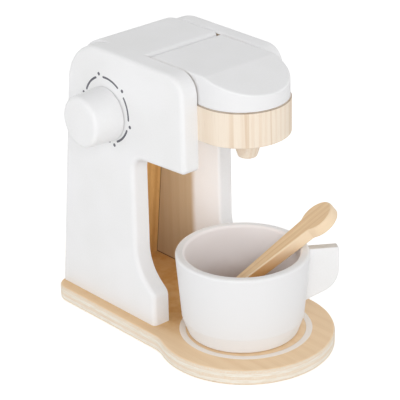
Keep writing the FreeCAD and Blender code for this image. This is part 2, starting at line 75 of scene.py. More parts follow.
# Places read from the frame
BASE_LOW, BASE_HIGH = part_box("base_board")
STAND_RADIUS = (BASE_HIGH.x - BASE_LOW.x) / 2
STAND_CENTER = Vector((0.0, BASE_LOW.y + STAND_RADIUS, BASE_HIGH.z))
PANEL_LOW, PANEL_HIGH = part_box("left_side_panel")
RIGHT_LOW, RIGHT_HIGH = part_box("right_side_panel")
KNOB_LOW, KNOB_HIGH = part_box("knob")
KNOB_CENTER = (KNOB_LOW + KNOB_HIGH) / 2
CUP_LOW, CUP_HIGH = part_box("cup")
CUP_CENTER = (CUP_LOW + CUP_HIGH) / 2
NOZZLE_LOW, NOZZLE_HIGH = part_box("nozzle")
NOZZLE_CENTER = (NOZZLE_LOW + NOZZLE_HIGH) / 2
HEAD_LOW, HEAD_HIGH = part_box("brew_head")
BACK_TOP_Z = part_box("back_panel")[1].z
BACK_TOP_Y = lowest_y("back_panel", BACK_TOP_Z - MILLIMETRE, BACK_TOP_Z + MILLIMETRE)
BACK_BOTTOM_Y = lowest_y("back_panel", BASE_HIGH.z - MILLIMETRE, BASE_HIGH.z + MILLIMETRE)
BACK_LEAN = (BACK_BOTTOM_Y - BACK_TOP_Y) / (BACK_TOP_Z - BASE_HIGH.z)
BACK_FRONT_Y = BACK_BOTTOM_Y + BACK_LEAN * BASE_HIGH.z
COLUMN_LOW_Z, COLUMN_HIGH_Z = 0.05, 0.115
COLUMN_FRONT_Y = lowest_y("right_side_panel", COLUMN_LOW_Z, COLUMN_HIGH_Z)

# Spans over which one finish goes over into the next, or into painted shade: beside the lid, on the niche
# floor, along the head's top edge, in the panels' corners and on the spoon's side
LID_SHADED_SIDE_Y = (PANEL_LOW.y + 0.020, PANEL_LOW.y + 0.023)
NICHE_SHADE_X = (RIGHT_LOW.x, RIGHT_HIGH.x + 0.012)
NICHE_SHADE_Y = (COLUMN_FRONT_Y - 0.055, COLUMN_FRONT_Y - 0.004)
SPRAY_Y = (COLUMN_FRONT_Y + 0.0255, COLUMN_FRONT_Y + 0.0325)
SPRAY_WANDER = 0.004
HEAD_SEAM_SHADE_Z = (HEAD_HIGH.z - 0.6 * MILLIMETRE, HEAD_HIGH.z - 0.1 * MILLIMETRE)
CORNER_SEAM_SHADE = (0.2 * MILLIMETRE, 0.9 * MILLIMETRE)
FOOT_SEAM_SHADE_Z = (BASE_HIGH.z + 0.3 * MILLIMETRE, BASE_HIGH.z + 1.1 * MILLIMETRE)
SPOON_SHADE_Z = (CUP_HIGH.z - 0.018, CUP_HIGH.z + 0.008)

# Gloss of the materials, and the socket numbers of a mix node: its first input and its output
PAINT_GLOSS = 0.4
PANEL_GLOSS = 0.38
SPOON_GLOSS = 0.35
WOOD_GLOSS = 0.32
MIX_SOCKETS = {"FLOAT": (2, 0), "VECTOR": (4, 1), "RGBA": (6, 2)}

# Depths of the bumps in metres
PAINTED_FIBRE_DEPTH = 0.00006
PEBBLE_DEPTH = 0.00005
FIBRE_DEPTH = 0.00008
RING_DEPTH = 0.00005
INK_DEPTH = 0.00003
SCRATCH_DEPTH = 0.00002

# Scales of the growth rings, how strongly they show, and where a pattern is moved to
BOARD_RINGS, BOARD_CONTRAST = 34.0, 0.62
PANEL_RINGS, PANEL_CONTRAST = 40.0, 0.5
HEAD_RINGS, HEAD_CONTRAST = 70.0, 0.7
BACK_RINGS, NOZZLE_RINGS, DOWEL_RINGS = 44.0, 80.0, 120.0
NOZZLE_SHIFT = (0.3, 0.1, 0.0)
HEAD_LINE_SHIFT = (0.11, 0.07, 0.0)

# Shares of painted shade on upright walls and in the covered gaps, how far noise bends the cup's painted
# shade, and how an ink's thin places differ
WALL_SHADE_SHARE = 0.8
COVERED_SHADE_SHARE = 0.35
BOTTOM_SHADE_WANDER = 0.012
RING_MOTTLE = -0.03
DIAL_MOTTLE = 0.25

# How finely the turned pieces are divided
TURNED_ARC_STEPS = 14
NOZZLE_STEP = 0.8 * MILLIMETRE
KNOB_STEP = 0.9 * MILLIMETRE
CUP_STEP = 1.5 * MILLIMETRE
NOZZLE_WAIST_EDGE = 2.0 * MILLIMETRE

# The base board's layers, and the dial's marks in degrees from the front upwards
PLY_COUNT = 5
DIAL_MARKS = 6
DIAL_FIRST = -134.0
DIAL_STEP = 60.0
DIAL_GAP = 8.5
ARC_STEPS = 48
DOT_STEPS = 40

# Printed ink: how much thinner its edges are, and how deep its foot goes, in shares of its height
INK_FALL = 0.75
INK_FOOT = 0.4

# The spoon: where it leans in the cup, in degrees, and how its outline and bowl are shaped
SPOON_RIM_BEARING = -29.4
SPOON_TOE_BEARING = 152.5
SPOON_CORNER_POWER = 30.0
SPOON_OUTLINE_STEPS = 260
SPOON_FACE_STEPS = 15
SPOON_EDGE_STEPS = 7
SPINE_INSET = 1.6
MERGE_DISTANCE = 0.02 * MILLIMETRE
BOWL_MARGIN = 2.2 * MILLIMETRE
BOWL_POWER = 1.4

FLOOR_REACH = 6.0
LAMP_PLACE, LAMP_TARGET, LAMP_SIZE = (-0.84, -0.95, 0.72), (0.0, 0.0, 0.09), (0.6, 0.5)
FILL_PLACE, FILL_TARGET = (PANEL_HIGH.x + 0.001, 0.035, 0.09), (RIGHT_LOW.x, 0.035, 0.09)
FILL_SIZE = (0.03, 0.07)
SENSOR_WIDTH = 36.0


def srgb(red, green, blue):
    """A colour given in the 0 to 255 steps of a picture, as the linear values that a shader takes."""
    steps = np.array((red, green, blue)) / 255.0
    linear = np.where(steps <= 0.04045, steps / 12.92, ((steps + 0.055) / 1.055) ** 2.4)
    return tuple(float(value) for value in linear)


def tint(label, description, shade):
    """A colour that a user can change, with its default in picture steps."""
    return FloatVectorProperty(
        name=label, description=description, default=srgb(*shade), subtype="COLOR", size=3, min=0.0, max=1.0
    )


def size(label, description, millimetres):
    """A length that a user can change, with its default in millimetres."""
    return FloatProperty(
        name=label, description=description, default=millimetres * MILLIMETRE, unit="LENGTH", precision=5
    )


class CoffeeColours(PropertyGroup):
    """Colours of the paints, woods, prints and metals, and of the painted light and shade."""

    paint: tint("Paint", "White paint on the body, lid, knob and cup", (240, 240, 241))
    # Painted shade: the greyer paint on upright round walls stands in for the light that falls less on them
    paint_upright_shade: tint(
        "Paint on round walls", "White paint on the round walls of lid and cup", (231, 231, 232)
    )
    paint_thin: tint("Thin paint", "Where the white paint lies thinner", (236, 236, 236))
    board: tint("Board", "Pale wood of the base board's faces", (242, 213, 176))
    board_deep: tint("Board grain", "Darker grain of the base board's faces", (230, 196, 154))
    ply: tint("Ply edge", "Pale layers in the base board's edge", (240, 234, 223))
    ply_deep: tint("Ply cross layers", "Darker layers in the base board's edge", (230, 217, 198))
    raw: tint("Raw board", "Bare wood on the inner faces of the side panels", (196, 174, 144))
    raw_deep: tint("Raw board grain", "Grain of that bare wood", (184, 158, 124))
    back: tint("Back panel", "Bare wood of the back panel", (232, 188, 124))
    back_deep: tint("Back panel grain", "Grain of the back panel", (204, 152, 88))
    # Painted shade: a dark brown that stands in for the shade in the gaps and corners where boards meet, and
    # along the brew head's top edge
    seam: tint("Seam", "Dark line where two boards meet", (112, 84, 60))
    head: tint("Brew head", "Pale wood of the brew head and nozzle", (239, 226, 209))
    head_deep: tint("Brew head grain", "Grain of the brew head and nozzle", (226, 205, 181))
    spoon: tint("Spoon", "Wood of the spoon", (240, 212, 172))
    spoon_deep: tint("Spoon grain", "Grain of the spoon", (214, 172, 122))
    dowel: tint("Dowels", "Beech of the dowels and pins", (222, 186, 138))
    dowel_deep: tint("Dowel grain", "Grain of the dowels and pins", (190, 148, 98))
    ink: tint("Dial ink", "Ink of the marks round the knob", (96, 96, 104))
    ring: tint("Ring print", "Print round the cup's place on the stand", (243, 235, 227))
    # Painted shade: the niche floor's deeper, warmer wood stands in for the shade and bounce light between
    # the panels
    board_niche_shade: tint("Niche floor", "Warmer wood of the base board between the panels", (214, 172, 116))
    # Painted light and shade: the inside of the cup is a little lighter and warmer for light bounced off the
    # wood, and goes over into brown painted shade towards its bottom
    cup_inside_light: tint("Cup inside", "Thinner, warmer paint inside the cup", (247, 243, 243))
    cup_bottom_shade: tint("Cup bottom", "Bottom of the cup, where the paint is thinnest", (172, 146, 126))
    # Painted shade: the handle's level upper edge is greyer, for the light that falls less on it
    handle_top_shade: tint("Handle edge", "Paint on the handle's upper edge", (206, 202, 196))
    # Painted light and shade: the spoon's sides take a paler colour for the light on them, and a darker one
    # for the shade low in the cup
    spoon_side_light: tint("Spoon side", "Pale sawn side of the spoon", (242, 219, 188))
    spoon_side_shade: tint("Spoon side below", "Darker side of the spoon towards its bowl", (218, 162, 98))
    steel: tint("Steel", "Screws, washer and hinge rod", (196, 197, 198))


class CoffeeSizes(PropertyGroup):
    """Sizes of the prints and of the turned and carved pieces."""

    dial_radius: size("Dial radius", "Middle line of the dial's arcs", 21.0)
    dial_line: size("Dial line", "Width of the dial's arcs", 1.4)
    dial_dot: size("Dial dot", "Width of the dots between the arcs", 2.3)
    dial_dot_radius: size("Dot circle", "Radius of the circle that the dots lie on", 22.9)
    dial_rise: size("Dial rise", "How far the dial's middle lies above the knob's", 2.5)
    print_height: size("Print height", "Thickness of the printed ink", 0.05)
    ring_inner: size("Ring inner radius", "Inner radius of the ring on the stand", 38.2)
    ring_outer: size("Ring outer radius", "Outer radius of the ring on the stand", 42.2)
    cup_rim: size("Cup rim radius", "Outer radius of the cup at its rim", 42.2)
    cup_heel: size("Cup heel radius", "Radius at which the line of the cup's wall meets the stand", 37.9)
    cup_bevel_height: size("Cup bevel height", "Height of the bevel at the bottom of the cup", 11.0)
    cup_bevel_edge: size("Cup bevel edge", "Rounding between the cup's wall and its bevel", 5.0)
    cup_foot: size("Cup foot radius", "Radius of the cup where it stands", 35.0)
    cup_foot_edge: size("Cup foot edge", "Rounding at the foot of the cup", 2.0)
    cup_wall: size("Cup wall", "Thickness of the cup's wall", 6.0)
    cup_floor: size("Cup floor", "Thickness of the cup's floor", 7.0)
    cup_floor_blend: size("Cup floor blend", "Rounding where the floor meets the wall", 7.0)
    cup_crown: size("Cup crown", "How far the finished rim stands over the turned blank", 0.4)
    cup_lip: size("Cup lip", "Rounding of both edges of the rim", 2.0)
    knob_face: size("Knob face radius", "Radius of the knob's outer end", 16.4)
    knob_edge: size("Knob edge", "Rounding between the knob's face and side", 3.0)
    knob_rim: size("Knob rim", "Rounding next to the panel", 0.6)
    knob_crown: size("Knob crown", "How far the middle of the knob's face stands proud", 0.25)
    nozzle_waist: size("Nozzle waist radius", "Radius where the nozzle's two cones meet", 7.4)
    nozzle_waist_height: size("Nozzle waist height", "Height of that place over the tip", 5.0)
    nozzle_tip: size("Nozzle tip radius", "Radius of the nozzle's lower end", 5.8)
    nozzle_edge: size("Nozzle edge", "Rounding of the nozzle's lower end", 1.2)
    nozzle_tenon: size("Nozzle tenon radius", "Radius of the part inside the brew head", 4.0)
    nozzle_tenon_length: size("Nozzle tenon length", "Length of the part inside the brew head", 5.0)
    spoon_length: size("Spoon length", "Length of the spoon", 109.9)
    spoon_thickness: size("Spoon thickness", "Thickness of the board it is cut from", 7.6)
    spoon_grip: size("Spoon grip radius", "Radius of the round end of the grip", 12.2)
    spoon_shaft: size("Spoon shaft width", "Width of the shaft next to the grip", 17.5)
    spoon_neck: size("Spoon neck width", "Width of the shaft next to the bowl", 8.0)
    spoon_bowl_width: size("Spoon bowl width", "Width of the bowl", 20.0)
    spoon_bowl_length: size("Spoon bowl length", "Length of the bowl", 27.0)
    spoon_hollow: size("Spoon hollow", "Depth of the bowl's hollow", 3.0)
    spoon_edge: size("Spoon edge", "Rounding of the spoon's edges", 1.3)
    spoon_gap: size("Spoon gap", "Gap under the spoon where it leans on the rim", 0.3)
    spoon_rest_radius: size("Spoon rest radius", "Middle of the rounding that the spoon leans on", 37.4)
    spoon_rest_lip: size("Spoon rest lip", "Radius of that rounding", 2.2)
    spoon_toe_radius: size("Spoon toe radius", "How far the spoon's toe lies from the cup's middle", 24.7)
    turned_steps: IntProperty(
        name="Turned steps", description="Steps round each turned piece", default=192, min=24, max=512
    )


class CoffeeStage(PropertyGroup):
    """Camera, lamps, floor and background."""

    camera_x: size("Camera X", "Camera's place to the right of the middle", -713.8)
    camera_y: size("Camera Y", "Camera's place behind the middle", -812.5)
    camera_z: size("Camera Z", "Camera's height over the floor", 583.1)
    camera_yaw: FloatProperty(
        name="Camera yaw", description="Turn from straight ahead to the right",
        default=math.radians(41.22), subtype="ANGLE",
    )
    camera_pitch: FloatProperty(
        name="Camera pitch", description="Tilt downwards", default=math.radians(24.69), subtype="ANGLE"
    )
    camera_roll: FloatProperty(
        name="Camera roll", description="Turn about the line of sight", default=math.radians(-1.24),
        subtype="ANGLE",
    )
    lens: FloatProperty(name="Lens", description="Focal length in millimetres", default=169.35)
    lamp_power: FloatProperty(name="Lamp", description="Power of the lamp behind the camera", default=4.6)
    fill_power: FloatProperty(name="Fill", description="Power of the small lamp in the niche", default=0.02)
    sky: FloatProperty(name="Sky", description="Strength of the light from overhead", default=0.50)
    sky_rim: FloatProperty(
        name="Sky's rim", description="Strength that the light gains towards the horizon", default=1.11
    )
    floor_glow: FloatProperty(
        name="Floor glow", description="Light that the floor adds for the camera, so that it shows white",
        default=0.42,
    )


# Surfaces worked out with numpy

def corner_rounded(corners, arc_steps=10):
    """An open line (n, 2) through corners (a, b, radius), each rounded by an arc.

    The arc touches both lines at radius / tan(half angle) from the corner, and its middle lies on
    the bisector at radius / sin(half angle). Its points turn evenly from one touching point to the other.
    """
    points = np.array([corner[:2] for corner in corners], float)
    radii = np.array([corner[2] for corner in corners], float)
    pieces = [points[:1]]
    for before, corner, after, radius in zip(points[:-2], points[1:-1], points[2:], radii[1:-1]):
        if radius <= 0.0:
            pieces.append(corner[None])
            continue
        back = (before - corner) / np.linalg.norm(before - corner)
        ahead = (after - corner) / np.linalg.norm(after - corner)
        half = math.acos(float(np.clip(back @ ahead, -1.0, 1.0))) / 2
        bisector = (back + ahead) / np.linalg.norm(back + ahead)
        middle = corner + bisector * radius / math.sin(half)
        start = corner + back * radius / math.tan(half) - middle
        side = start / radius
        end = corner + ahead * radius / math.tan(half) - middle
        across = end - side * (end @ side)
        across = across / np.linalg.norm(across)
        turn = np.linspace(0.0, math.pi - 2 * half, arc_steps + 1)[:, None]
        pieces.append(middle + radius * (np.cos(turn) * side + np.sin(turn) * across))
    pieces.append(points[-1:])
    return np.vstack(pieces)


def subdivided(line, longest):
    """The line (n, 2) with points added evenly, so that no step is longer than the given length."""
    steps = np.linalg.norm(np.diff(line, axis=0), axis=1)
    along = np.concatenate(([0.0], np.cumsum(steps)))
    counts = np.maximum(1, np.ceil(steps / longest)).astype(int)
    places = [np.linspace(a, b, n, endpoint=False) for a, b, n in zip(along[:-1], along[1:], counts)]
    places = np.concatenate(places + [along[-1:]])
    return np.stack([np.interp(places, along, line[:, axis]) for axis in (0, 1)], axis=1)


def mesh_piece(name, points, faces):
    """A new object from an array of points and arrays of faces, turned so that its faces point outwards.

    The signed volume is the sum over the faces' fan triangles of a . (b x c) / 6. Where it is
    negative the faces are turned round.
    """
    volume = 0.0
    for group in faces:
        corners = points[group]
        for step in range(1, group.shape[1] - 1):
            cross = np.cross(corners[:, step], corners[:, step + 1])
            volume += float(np.einsum("ij,ij->", corners[:, 0], cross))
    turned = [group if volume > 0 else group[:, ::-1] for group in faces]
    mesh = bpy.data.meshes.new(name)
    mesh.from_pydata(points.tolist(), [], [face for group in turned for face in group.tolist()])
    mesh.update()
    mesh.polygons.foreach_set("use_smooth", np.ones(len(mesh.polygons), bool))
    piece = bpy.data.objects.new(name, mesh)
    bpy.context.scene.collection.objects.link(piece)
    return piece


def woven(index):
    """Four-sided faces between the rows of a grid of point numbers whose columns close on themselves."""
    ahead = np.roll(index, -1, axis=1)
    return np.stack((index[:-1], ahead[:-1], ahead[1:], index[1:]), axis=-1).reshape(-1, 4)


def turned_piece(name, profile, place, axis, side, steps):
    """A surface of revolution whose profile (radius, along) starts and ends on the axis.

    Point (i, j) is place + along_i * axis + radius_i * (cos(2 pi j / steps) * side + sin(...) * up).
    The first and last points are single, and fans of triangles close the surface there.
    """
    up = np.cross(axis, side)
    turn = np.linspace(0.0, 2 * math.pi, steps, endpoint=False)
    circle = np.cos(turn)[:, None] * side + np.sin(turn)[:, None] * up
    rings = profile[1:-1]
    body = place + rings[:, None, 1:2] * axis + rings[:, None, 0:1] * circle[None]
    poles = place + profile[[0, -1], 1:2] * axis
    points = np.vstack((body.reshape(-1, 3), poles))
    index = np.arange(len(rings) * steps).reshape(len(rings), steps)
    ahead = np.roll(index, -1, axis=1)
    bottom = np.stack((np.full(steps, len(points) - 2), ahead[0], index[0]), axis=-1)
    top = np.stack((np.full(steps, len(points) - 1), index[-1], ahead[-1]), axis=-1)
    return mesh_piece(name, points, [woven(index), bottom, top])


def printed_section(width, height, steps=9):
    """A closed section (n, 2) of printed ink over a flat foot that lies just inside the face.

    Its top is width / 2 * u by height * (1 - fall * u^4), with u from -1 to 1.
    """
    u = np.linspace(-1.0, 1.0, steps)
    top = np.stack((u * width / 2, height * (1.0 - INK_FALL * u ** 4)), axis=1)
    foot = np.stack((u[::-1] * width / 2, np.full(steps, -INK_FOOT * height)), axis=1)
    return np.vstack((top, foot))


def printed_arc(name, middle, radius, start, end, section, normal):
    """Ink carried along a circle's arc on an upright face, with the section scaled to nothing at both ends.

    Point (i, j) is middle + (radius + s_j * taper_i) * (cos t_i * front + sin t_i * up) + h_j * normal,
    where taper is the height of a half circle over the last half width at each end.
    """
    turn = np.linspace(start, end, ARC_STEPS)
    half_width = float(np.max(section[:, 0]))
    to_end = np.minimum(turn - start, end - turn) * radius / half_width
    taper = np.sqrt(np.clip(1.0 - (1.0 - np.clip(to_end, 0.0, 1.0)) ** 2, 0.0025, 1.0))
    outward = np.cos(turn)[:, None] * FRONT + np.sin(turn)[:, None] * UP
    reach = radius + section[None, :, 0] * taper[:, None]
    points = middle + reach[..., None] * outward[:, None] + section[None, :, 1:2] * normal
    index = np.arange(points.shape[0] * points.shape[1]).reshape(points.shape[:2])
    return mesh_piece(name, points.reshape(-1, 3), [woven(index), index[:1, ::-1], index[-1:]])


def printed_ring(name, middle, radius, section, steps):
    """Ink carried round a whole level circle.

    Point (i, j) is middle + (radius + s_j) * outward_i + h_j * up.
    """
    turn = np.linspace(0.0, 2 * math.pi, steps, endpoint=False)
    outward = np.stack((np.cos(turn), np.sin(turn), np.zeros(steps)), axis=1)
    reach = radius + section[:, 0]
    points = np.array(middle) + reach[None, :, None] * outward[:, None] + section[None, :, 1:2] * UP
    index = np.arange(steps * len(section)).reshape(steps, len(section))
    return mesh_piece(name, points.reshape(-1, 3), [woven(np.vstack((index, index[:1])))])


# Materials

class Nodes:
    """A node tree being built: it adds shader nodes and joins them."""

    def __init__(self, tree):
        self.tree = tree
        self.space = self.node("TexCoord").outputs

    def node(self, kind, settings=None, **inputs):
        """A node of a kind, with its settings and with its inputs set to values or joined to sockets."""
        made = self.tree.nodes.new("ShaderNode" + kind)
        for key, value in (settings or {}).items():
            setattr(made, key, value)
        for key, value in inputs.items():
            self.give(made.inputs[key.replace("_", " ")], value)
        return made

    def give(self, socket, value):
        """Sets a socket to a value, or joins it to another socket."""
        if isinstance(value, NodeSocket):
            self.tree.links.new(value, socket)
        else:
            socket.default_value = value

    def ramp(self, value, low, high, start=0.0, end=1.0):
        """Moves a value from the span low..high to the span start..end, held at its ends."""
        made = self.node(
            "MapRange", {"interpolation_type": "SMOOTHSTEP"},
            Value=value, From_Min=low, From_Max=high, To_Min=start, To_Max=end,
        )
        return made.outputs["Result"]

    def maths(self, operation, *values):
        """The result of one operation on one, two or three values."""
        made = self.node("Math", {"operation": operation})
        for socket, value in zip(made.inputs, values):
            self.give(socket, value)
        return made.outputs[0]

    def times(self, first, second):
        """The product of two values."""
        return self.maths("MULTIPLY", first, second)

    def weighted(self, *parts):
        """The sum of values, each times its weight."""
        total = self.times(*parts[0])
        for value, weight in parts[1:]:
            total = self.maths("ADD", total, self.times(value, weight))
        return total


class Finish(Nodes):
    """A material being built."""

    def __init__(self, name):
        self.material = bpy.data.materials.new(name)
        self.material.use_nodes = True
        super().__init__(self.material.node_tree)
        self.surface = self.tree.nodes["Principled BSDF"]

    def stretched(self, scale=(1.0, 1.0, 1.0), shift=(0.0, 0.0, 0.0)):
        """Object coordinates, scaled and moved."""
        mapping = self.node("Mapping", Vector=self.space["Object"], Scale=scale, Location=shift)
        return mapping.outputs["Vector"]

    def along(self, axis, share, shift=(0.0, 0.0, 0.0)):
        """Object coordinates in which a pattern is drawn out along one axis."""
        return self.stretched(tuple(share if letter == axis else 1.0 for letter in "XYZ"), shift)

    def noise(self, vector, scale, detail=3.0, roughness=0.55):
        """Soft noise, from 0 to 1."""
        made = self.node("TexNoise", Vector=vector, Scale=scale, Detail=detail, Roughness=roughness)
        return made.outputs["Fac"]

    def bands(self, vector, scale, distortion, direction):
        """Bands of growth rings, bent by noise."""
        made = self.node(
            "TexWave", {"wave_type": "BANDS", "bands_direction": direction, "wave_profile": "SIN"},
            Vector=vector, Scale=scale, Distortion=distortion, Detail=3.0, Detail_Scale=1.2,
        )
        return made.outputs["Fac"]

    def mixed(self, share, first, second, kind="RGBA"):
        """One colour, value or vector that goes over into another."""
        made = self.node("Mix", {"data_type": kind}, Factor=share)
        start, output = MIX_SOCKETS[kind]
        for socket, value in zip(made.inputs[start:start + 2], (first, second)):
            self.give(socket, value if isinstance(value, NodeSocket) else (*value, 1.0))
        return made.outputs[output]

    def height(self, value, depth, strength, under=None):
        """A bump of the given depth in metres, over another bump if one is given."""
        made = self.node("Bump", Height=value, Distance=depth, Strength=strength)
        if under is not None:
            self.give(made.inputs["Normal"], under)
        return made.outputs["Normal"]

    def place(self):
        """The X, Y and Z outputs of the object coordinates."""
        return self.node("SeparateXYZ", Vector=self.space["Object"]).outputs

    def facing(self, direction):
        """How far the surface's own normal points along a direction, which is a vector or a socket."""
        made = self.node("VectorMath", {"operation": "DOT_PRODUCT"})
        self.give(made.inputs[0], self.space["Normal"])
        self.give(made.inputs[1], direction)
        return made.outputs["Value"]

    def level(self, direction=UP):
        """How far the surface faces along a direction or against it, from 0 to 1."""
        return self.maths("ABSOLUTE", self.facing(direction))

    def finish(self, colour, roughness, normal, gloss=None, **sockets):
        """Joins the results to the surface and returns the material."""
        self.give(self.surface.inputs["Base Color"], colour)
        self.give(self.surface.inputs["Roughness"], roughness)
        if normal is not None:
            self.give(self.surface.inputs["Normal"], normal)
        if gloss is not None:
            self.surface.inputs["Specular IOR Level"].default_value = gloss
        for key, value in sockets.items():
            self.surface.inputs[key.replace("_", " ")].default_value = value
        return self.material


def paint_layers(finish, colours, axis):
    """Colour, roughness and bump of sprayed satin paint over board.

    The colour goes from full to thin paint with soft patches and fine specks. The bump is a fine
    pebble from the spray gun over board grain that shows through a little.
    """
    near = finish.stretched()
    patches = finish.noise(near, 22.0, detail=2.0)
    specks = finish.noise(near, 900.0, detail=1.0)
    blotch = finish.weighted((patches, 0.75), (specks, 0.25))
    colour = finish.mixed(finish.ramp(blotch, 0.35, 0.68), colours.paint, colours.paint_thin)
    fibres = finish.noise(finish.along(axis, 0.03), 620.0, detail=2.0)
    pebble = finish.noise(near, 1500.0, detail=1.0)
    normal = finish.height(fibres, PAINTED_FIBRE_DEPTH, 0.28)
    normal = finish.height(pebble, PEBBLE_DEPTH, 0.35, under=normal)
    roughness = finish.ramp(finish.noise(near, 60.0), 0.3, 0.7, 0.42, 0.54)
    return colour, roughness, normal


def painted_board(name, colours, axis):
    """Satin white paint on a board whose grain runs along the axis."""
    finish = Finish(name)
    return finish.finish(*paint_layers(finish, colours, axis), PAINT_GLOSS)


def shaded_wall_paint(finish, paint, colours):
    """The paint with painted shade: a little greyer where the surface stands upright."""
    # Painted shade: upright surfaces take the greyer paint of the round walls
    upright = finish.ramp(finish.level(), 0.15, 0.5, 1.0, 0.0)
    return finish.mixed(finish.times(upright, WALL_SHADE_SHARE), paint, colours.paint_upright_shade)


def painted_lid(name, colours):
    """The lid's paint: painted shade makes it a little greyer on the round front wall, and bare, darker wood
    on both sides stands in for the shade in the gaps.
    """
    finish = Finish(name)
    paint, roughness, normal = paint_layers(finish, colours, "X")
    colour = shaded_wall_paint(finish, paint, colours)
    # Painted shade: the lid's sides between the panels take the darker bare-wood grain colour, so that the
    # gaps beside the lid read dark
    covered = finish.ramp(finish.place()["Y"], *LID_SHADED_SIDE_Y)
    side = finish.times(covered, finish.ramp(finish.level(RIGHT), 0.9, 0.98))
    return finish.finish(finish.mixed(side, colour, colours.raw_deep), roughness, normal, PAINT_GLOSS)


def painted_cup(name, colours):
    """White paint outside, and inside a lighter, warmer white of painted bounce light that goes over into
    brown painted shade towards the bottom.

    A place is inside where the surface's own normal points to the cup's axis, or up from its floor.
    The share of painted shade falls smoothly from near the floor to near the rim, and noise bends it.
    """
    finish = Finish(name)
    paint, roughness, normal = paint_layers(finish, colours, "Z")
    paint = shaded_wall_paint(finish, paint, colours)
    place = finish.place()
    from_axis = finish.node(
        "CombineXYZ",
        X=finish.maths("SUBTRACT", place["X"], CUP_CENTER.x),
        Y=finish.maths("SUBTRACT", place["Y"], CUP_CENTER.y),
    )
    inner_wall = finish.ramp(finish.facing(from_axis.outputs[0]), -0.020, -0.006, 1.0, 0.0)
    reach = CUP_HIGH.z - CUP_LOW.z
    low = finish.ramp(place["Z"], CUP_LOW.z + 0.25 * reach, CUP_LOW.z + 0.4 * reach, 1.0, 0.0)
    floor = finish.times(low, finish.ramp(finish.facing(UP), 0.3, 0.7))
    inside = finish.maths("MAXIMUM", inner_wall, floor)
    # Painted shade: towards the bottom the inside goes over into brown, under a lighter, warmer white for
    # bounce light
    cloud = finish.noise(finish.stretched(), 55.0)
    height = finish.maths("ADD", place["Z"], finish.times(cloud, BOTTOM_SHADE_WANDER))
    bottom = finish.ramp(height, CUP_LOW.z + 0.1 * reach, CUP_LOW.z + 0.85 * reach, 1.0, 0.0)
    inner = finish.mixed(bottom, colours.cup_inside_light, colours.cup_bottom_shade)
    return finish.finish(finish.mixed(inside, paint, inner), roughness, normal, PAINT_GLOSS)


def painted_handle(name, colours):
    """The cup's paint, with painted shade making it a little greyer on the level upper edge."""
    finish = Finish(name)
    paint, roughness, normal = paint_layers(finish, colours, "Z")
    cloud = finish.ramp(finish.noise(finish.stretched(), 180.0), 0.3, 0.7, 0.75, 1.0)
    # Painted shade: the level upper edge takes the greyer colour
    upper = finish.times(finish.ramp(finish.facing(UP), 0.75, 0.95), cloud)
    return finish.finish(finish.mixed(upper, paint, colours.handle_top_shade), roughness, normal, PAINT_GLOSS)


def wood_layers(finish, pale, deep, axis, ring_scale, ring_way, contrast, shift=(0.0, 0.0, 0.0)):
    """Colour, roughness and bump of planed, unvarnished wood whose grain runs along the axis.

    Growth rings are bent bands. Fibres are noise drawn out along the grain, and pores are its
    darkest part. The colour goes from pale to deep by the rings, the fibres and wide soft patches.
    """
    drawn = finish.along(axis, 0.07, shift)
    fine = finish.along(axis, 0.025, shift)
    wander = finish.node("TexNoise", Vector=drawn, Scale=26.0, Detail=2.0).outputs["Color"]
    bent = finish.node("VectorMath", {"operation": "MULTIPLY_ADD"})
    for socket, value in zip(bent.inputs, (wander, (0.012, 0.012, 0.012), drawn)):
        finish.give(socket, value)
    rings = finish.ramp(finish.bands(bent.outputs[0], ring_scale, 1.6, ring_way), 0.25, 1.0)
    fibres = finish.noise(fine, 1500.0, roughness=0.6)
    streaks = finish.noise(fine, 330.0, detail=2.0)
    patches = finish.noise(finish.stretched(shift=shift), 16.0, detail=1.0)
    share = finish.weighted(
        (rings, 0.42), (finish.ramp(fibres, 0.35, 0.75), 0.24), (finish.ramp(streaks, 0.4, 0.8), 0.30),
        (patches, 0.16),
    )
    colour = finish.mixed(finish.times(share, contrast), pale, deep)
    pores = finish.ramp(finish.noise(fine, 2600.0, detail=1.0), 0.66, 0.74)
    dark = tuple(value * 0.72 for value in deep)
    colour = finish.mixed(finish.times(pores, 0.35 * contrast), colour, dark)
    normal = finish.height(fibres, FIBRE_DEPTH, 0.35)
    normal = finish.height(rings, RING_DEPTH, 0.25, under=normal)
    roughness = finish.ramp(fibres, 0.3, 0.8, 0.50, 0.66)
    return colour, roughness, normal


def bare_wood(name, pale, deep, axis, ring_scale, shift=(0.0, 0.0, 0.0)):
    """Planed wood without paint."""
    finish = Finish(name)
    layers = wood_layers(finish, pale, deep, axis, ring_scale, "X", 1.0, shift)
    return finish.finish(*layers, WOOD_GLOSS)


def head_wood(name, colours):
    """The brew head: calm pale wood with upright grain, a few thin dark lines and painted shade along its
    upper edge.

    The thin lines are where noise, drawn out along Z, passes through its middle value.
    """
    finish = Finish(name)
    layers = wood_layers(finish, colours.head, colours.head_deep, "Z", HEAD_RINGS, "X", HEAD_CONTRAST)
    colour, roughness, normal = layers
    drawn = finish.along("Z", 0.04, HEAD_LINE_SHIFT)
    off_line = finish.maths("ABSOLUTE", finish.maths("SUBTRACT", finish.noise(drawn, 75.0, detail=2.0), 0.5))
    line = finish.ramp(off_line, 0.006, 0.018, 1.0, 0.0)
    line = finish.times(line, finish.ramp(finish.noise(drawn, 30.0), 0.40, 0.55, 0.0, 0.75))
    colour = finish.mixed(line, colour, colours.dowel_deep)
    # Painted shade: the rounding along the head's top edge takes the dark brown shade colour, for the shade
    # in the gap under the lid
    seam = finish.ramp(finish.place()["Z"], *HEAD_SEAM_SHADE_Z)
    beside_top = finish.ramp(finish.facing(UP), 0.90, 0.98, 0.7, 0.0)
    colour = finish.mixed(finish.times(seam, beside_top), colour, colours.seam)
    return finish.finish(colour, roughness, normal, WOOD_GLOSS)


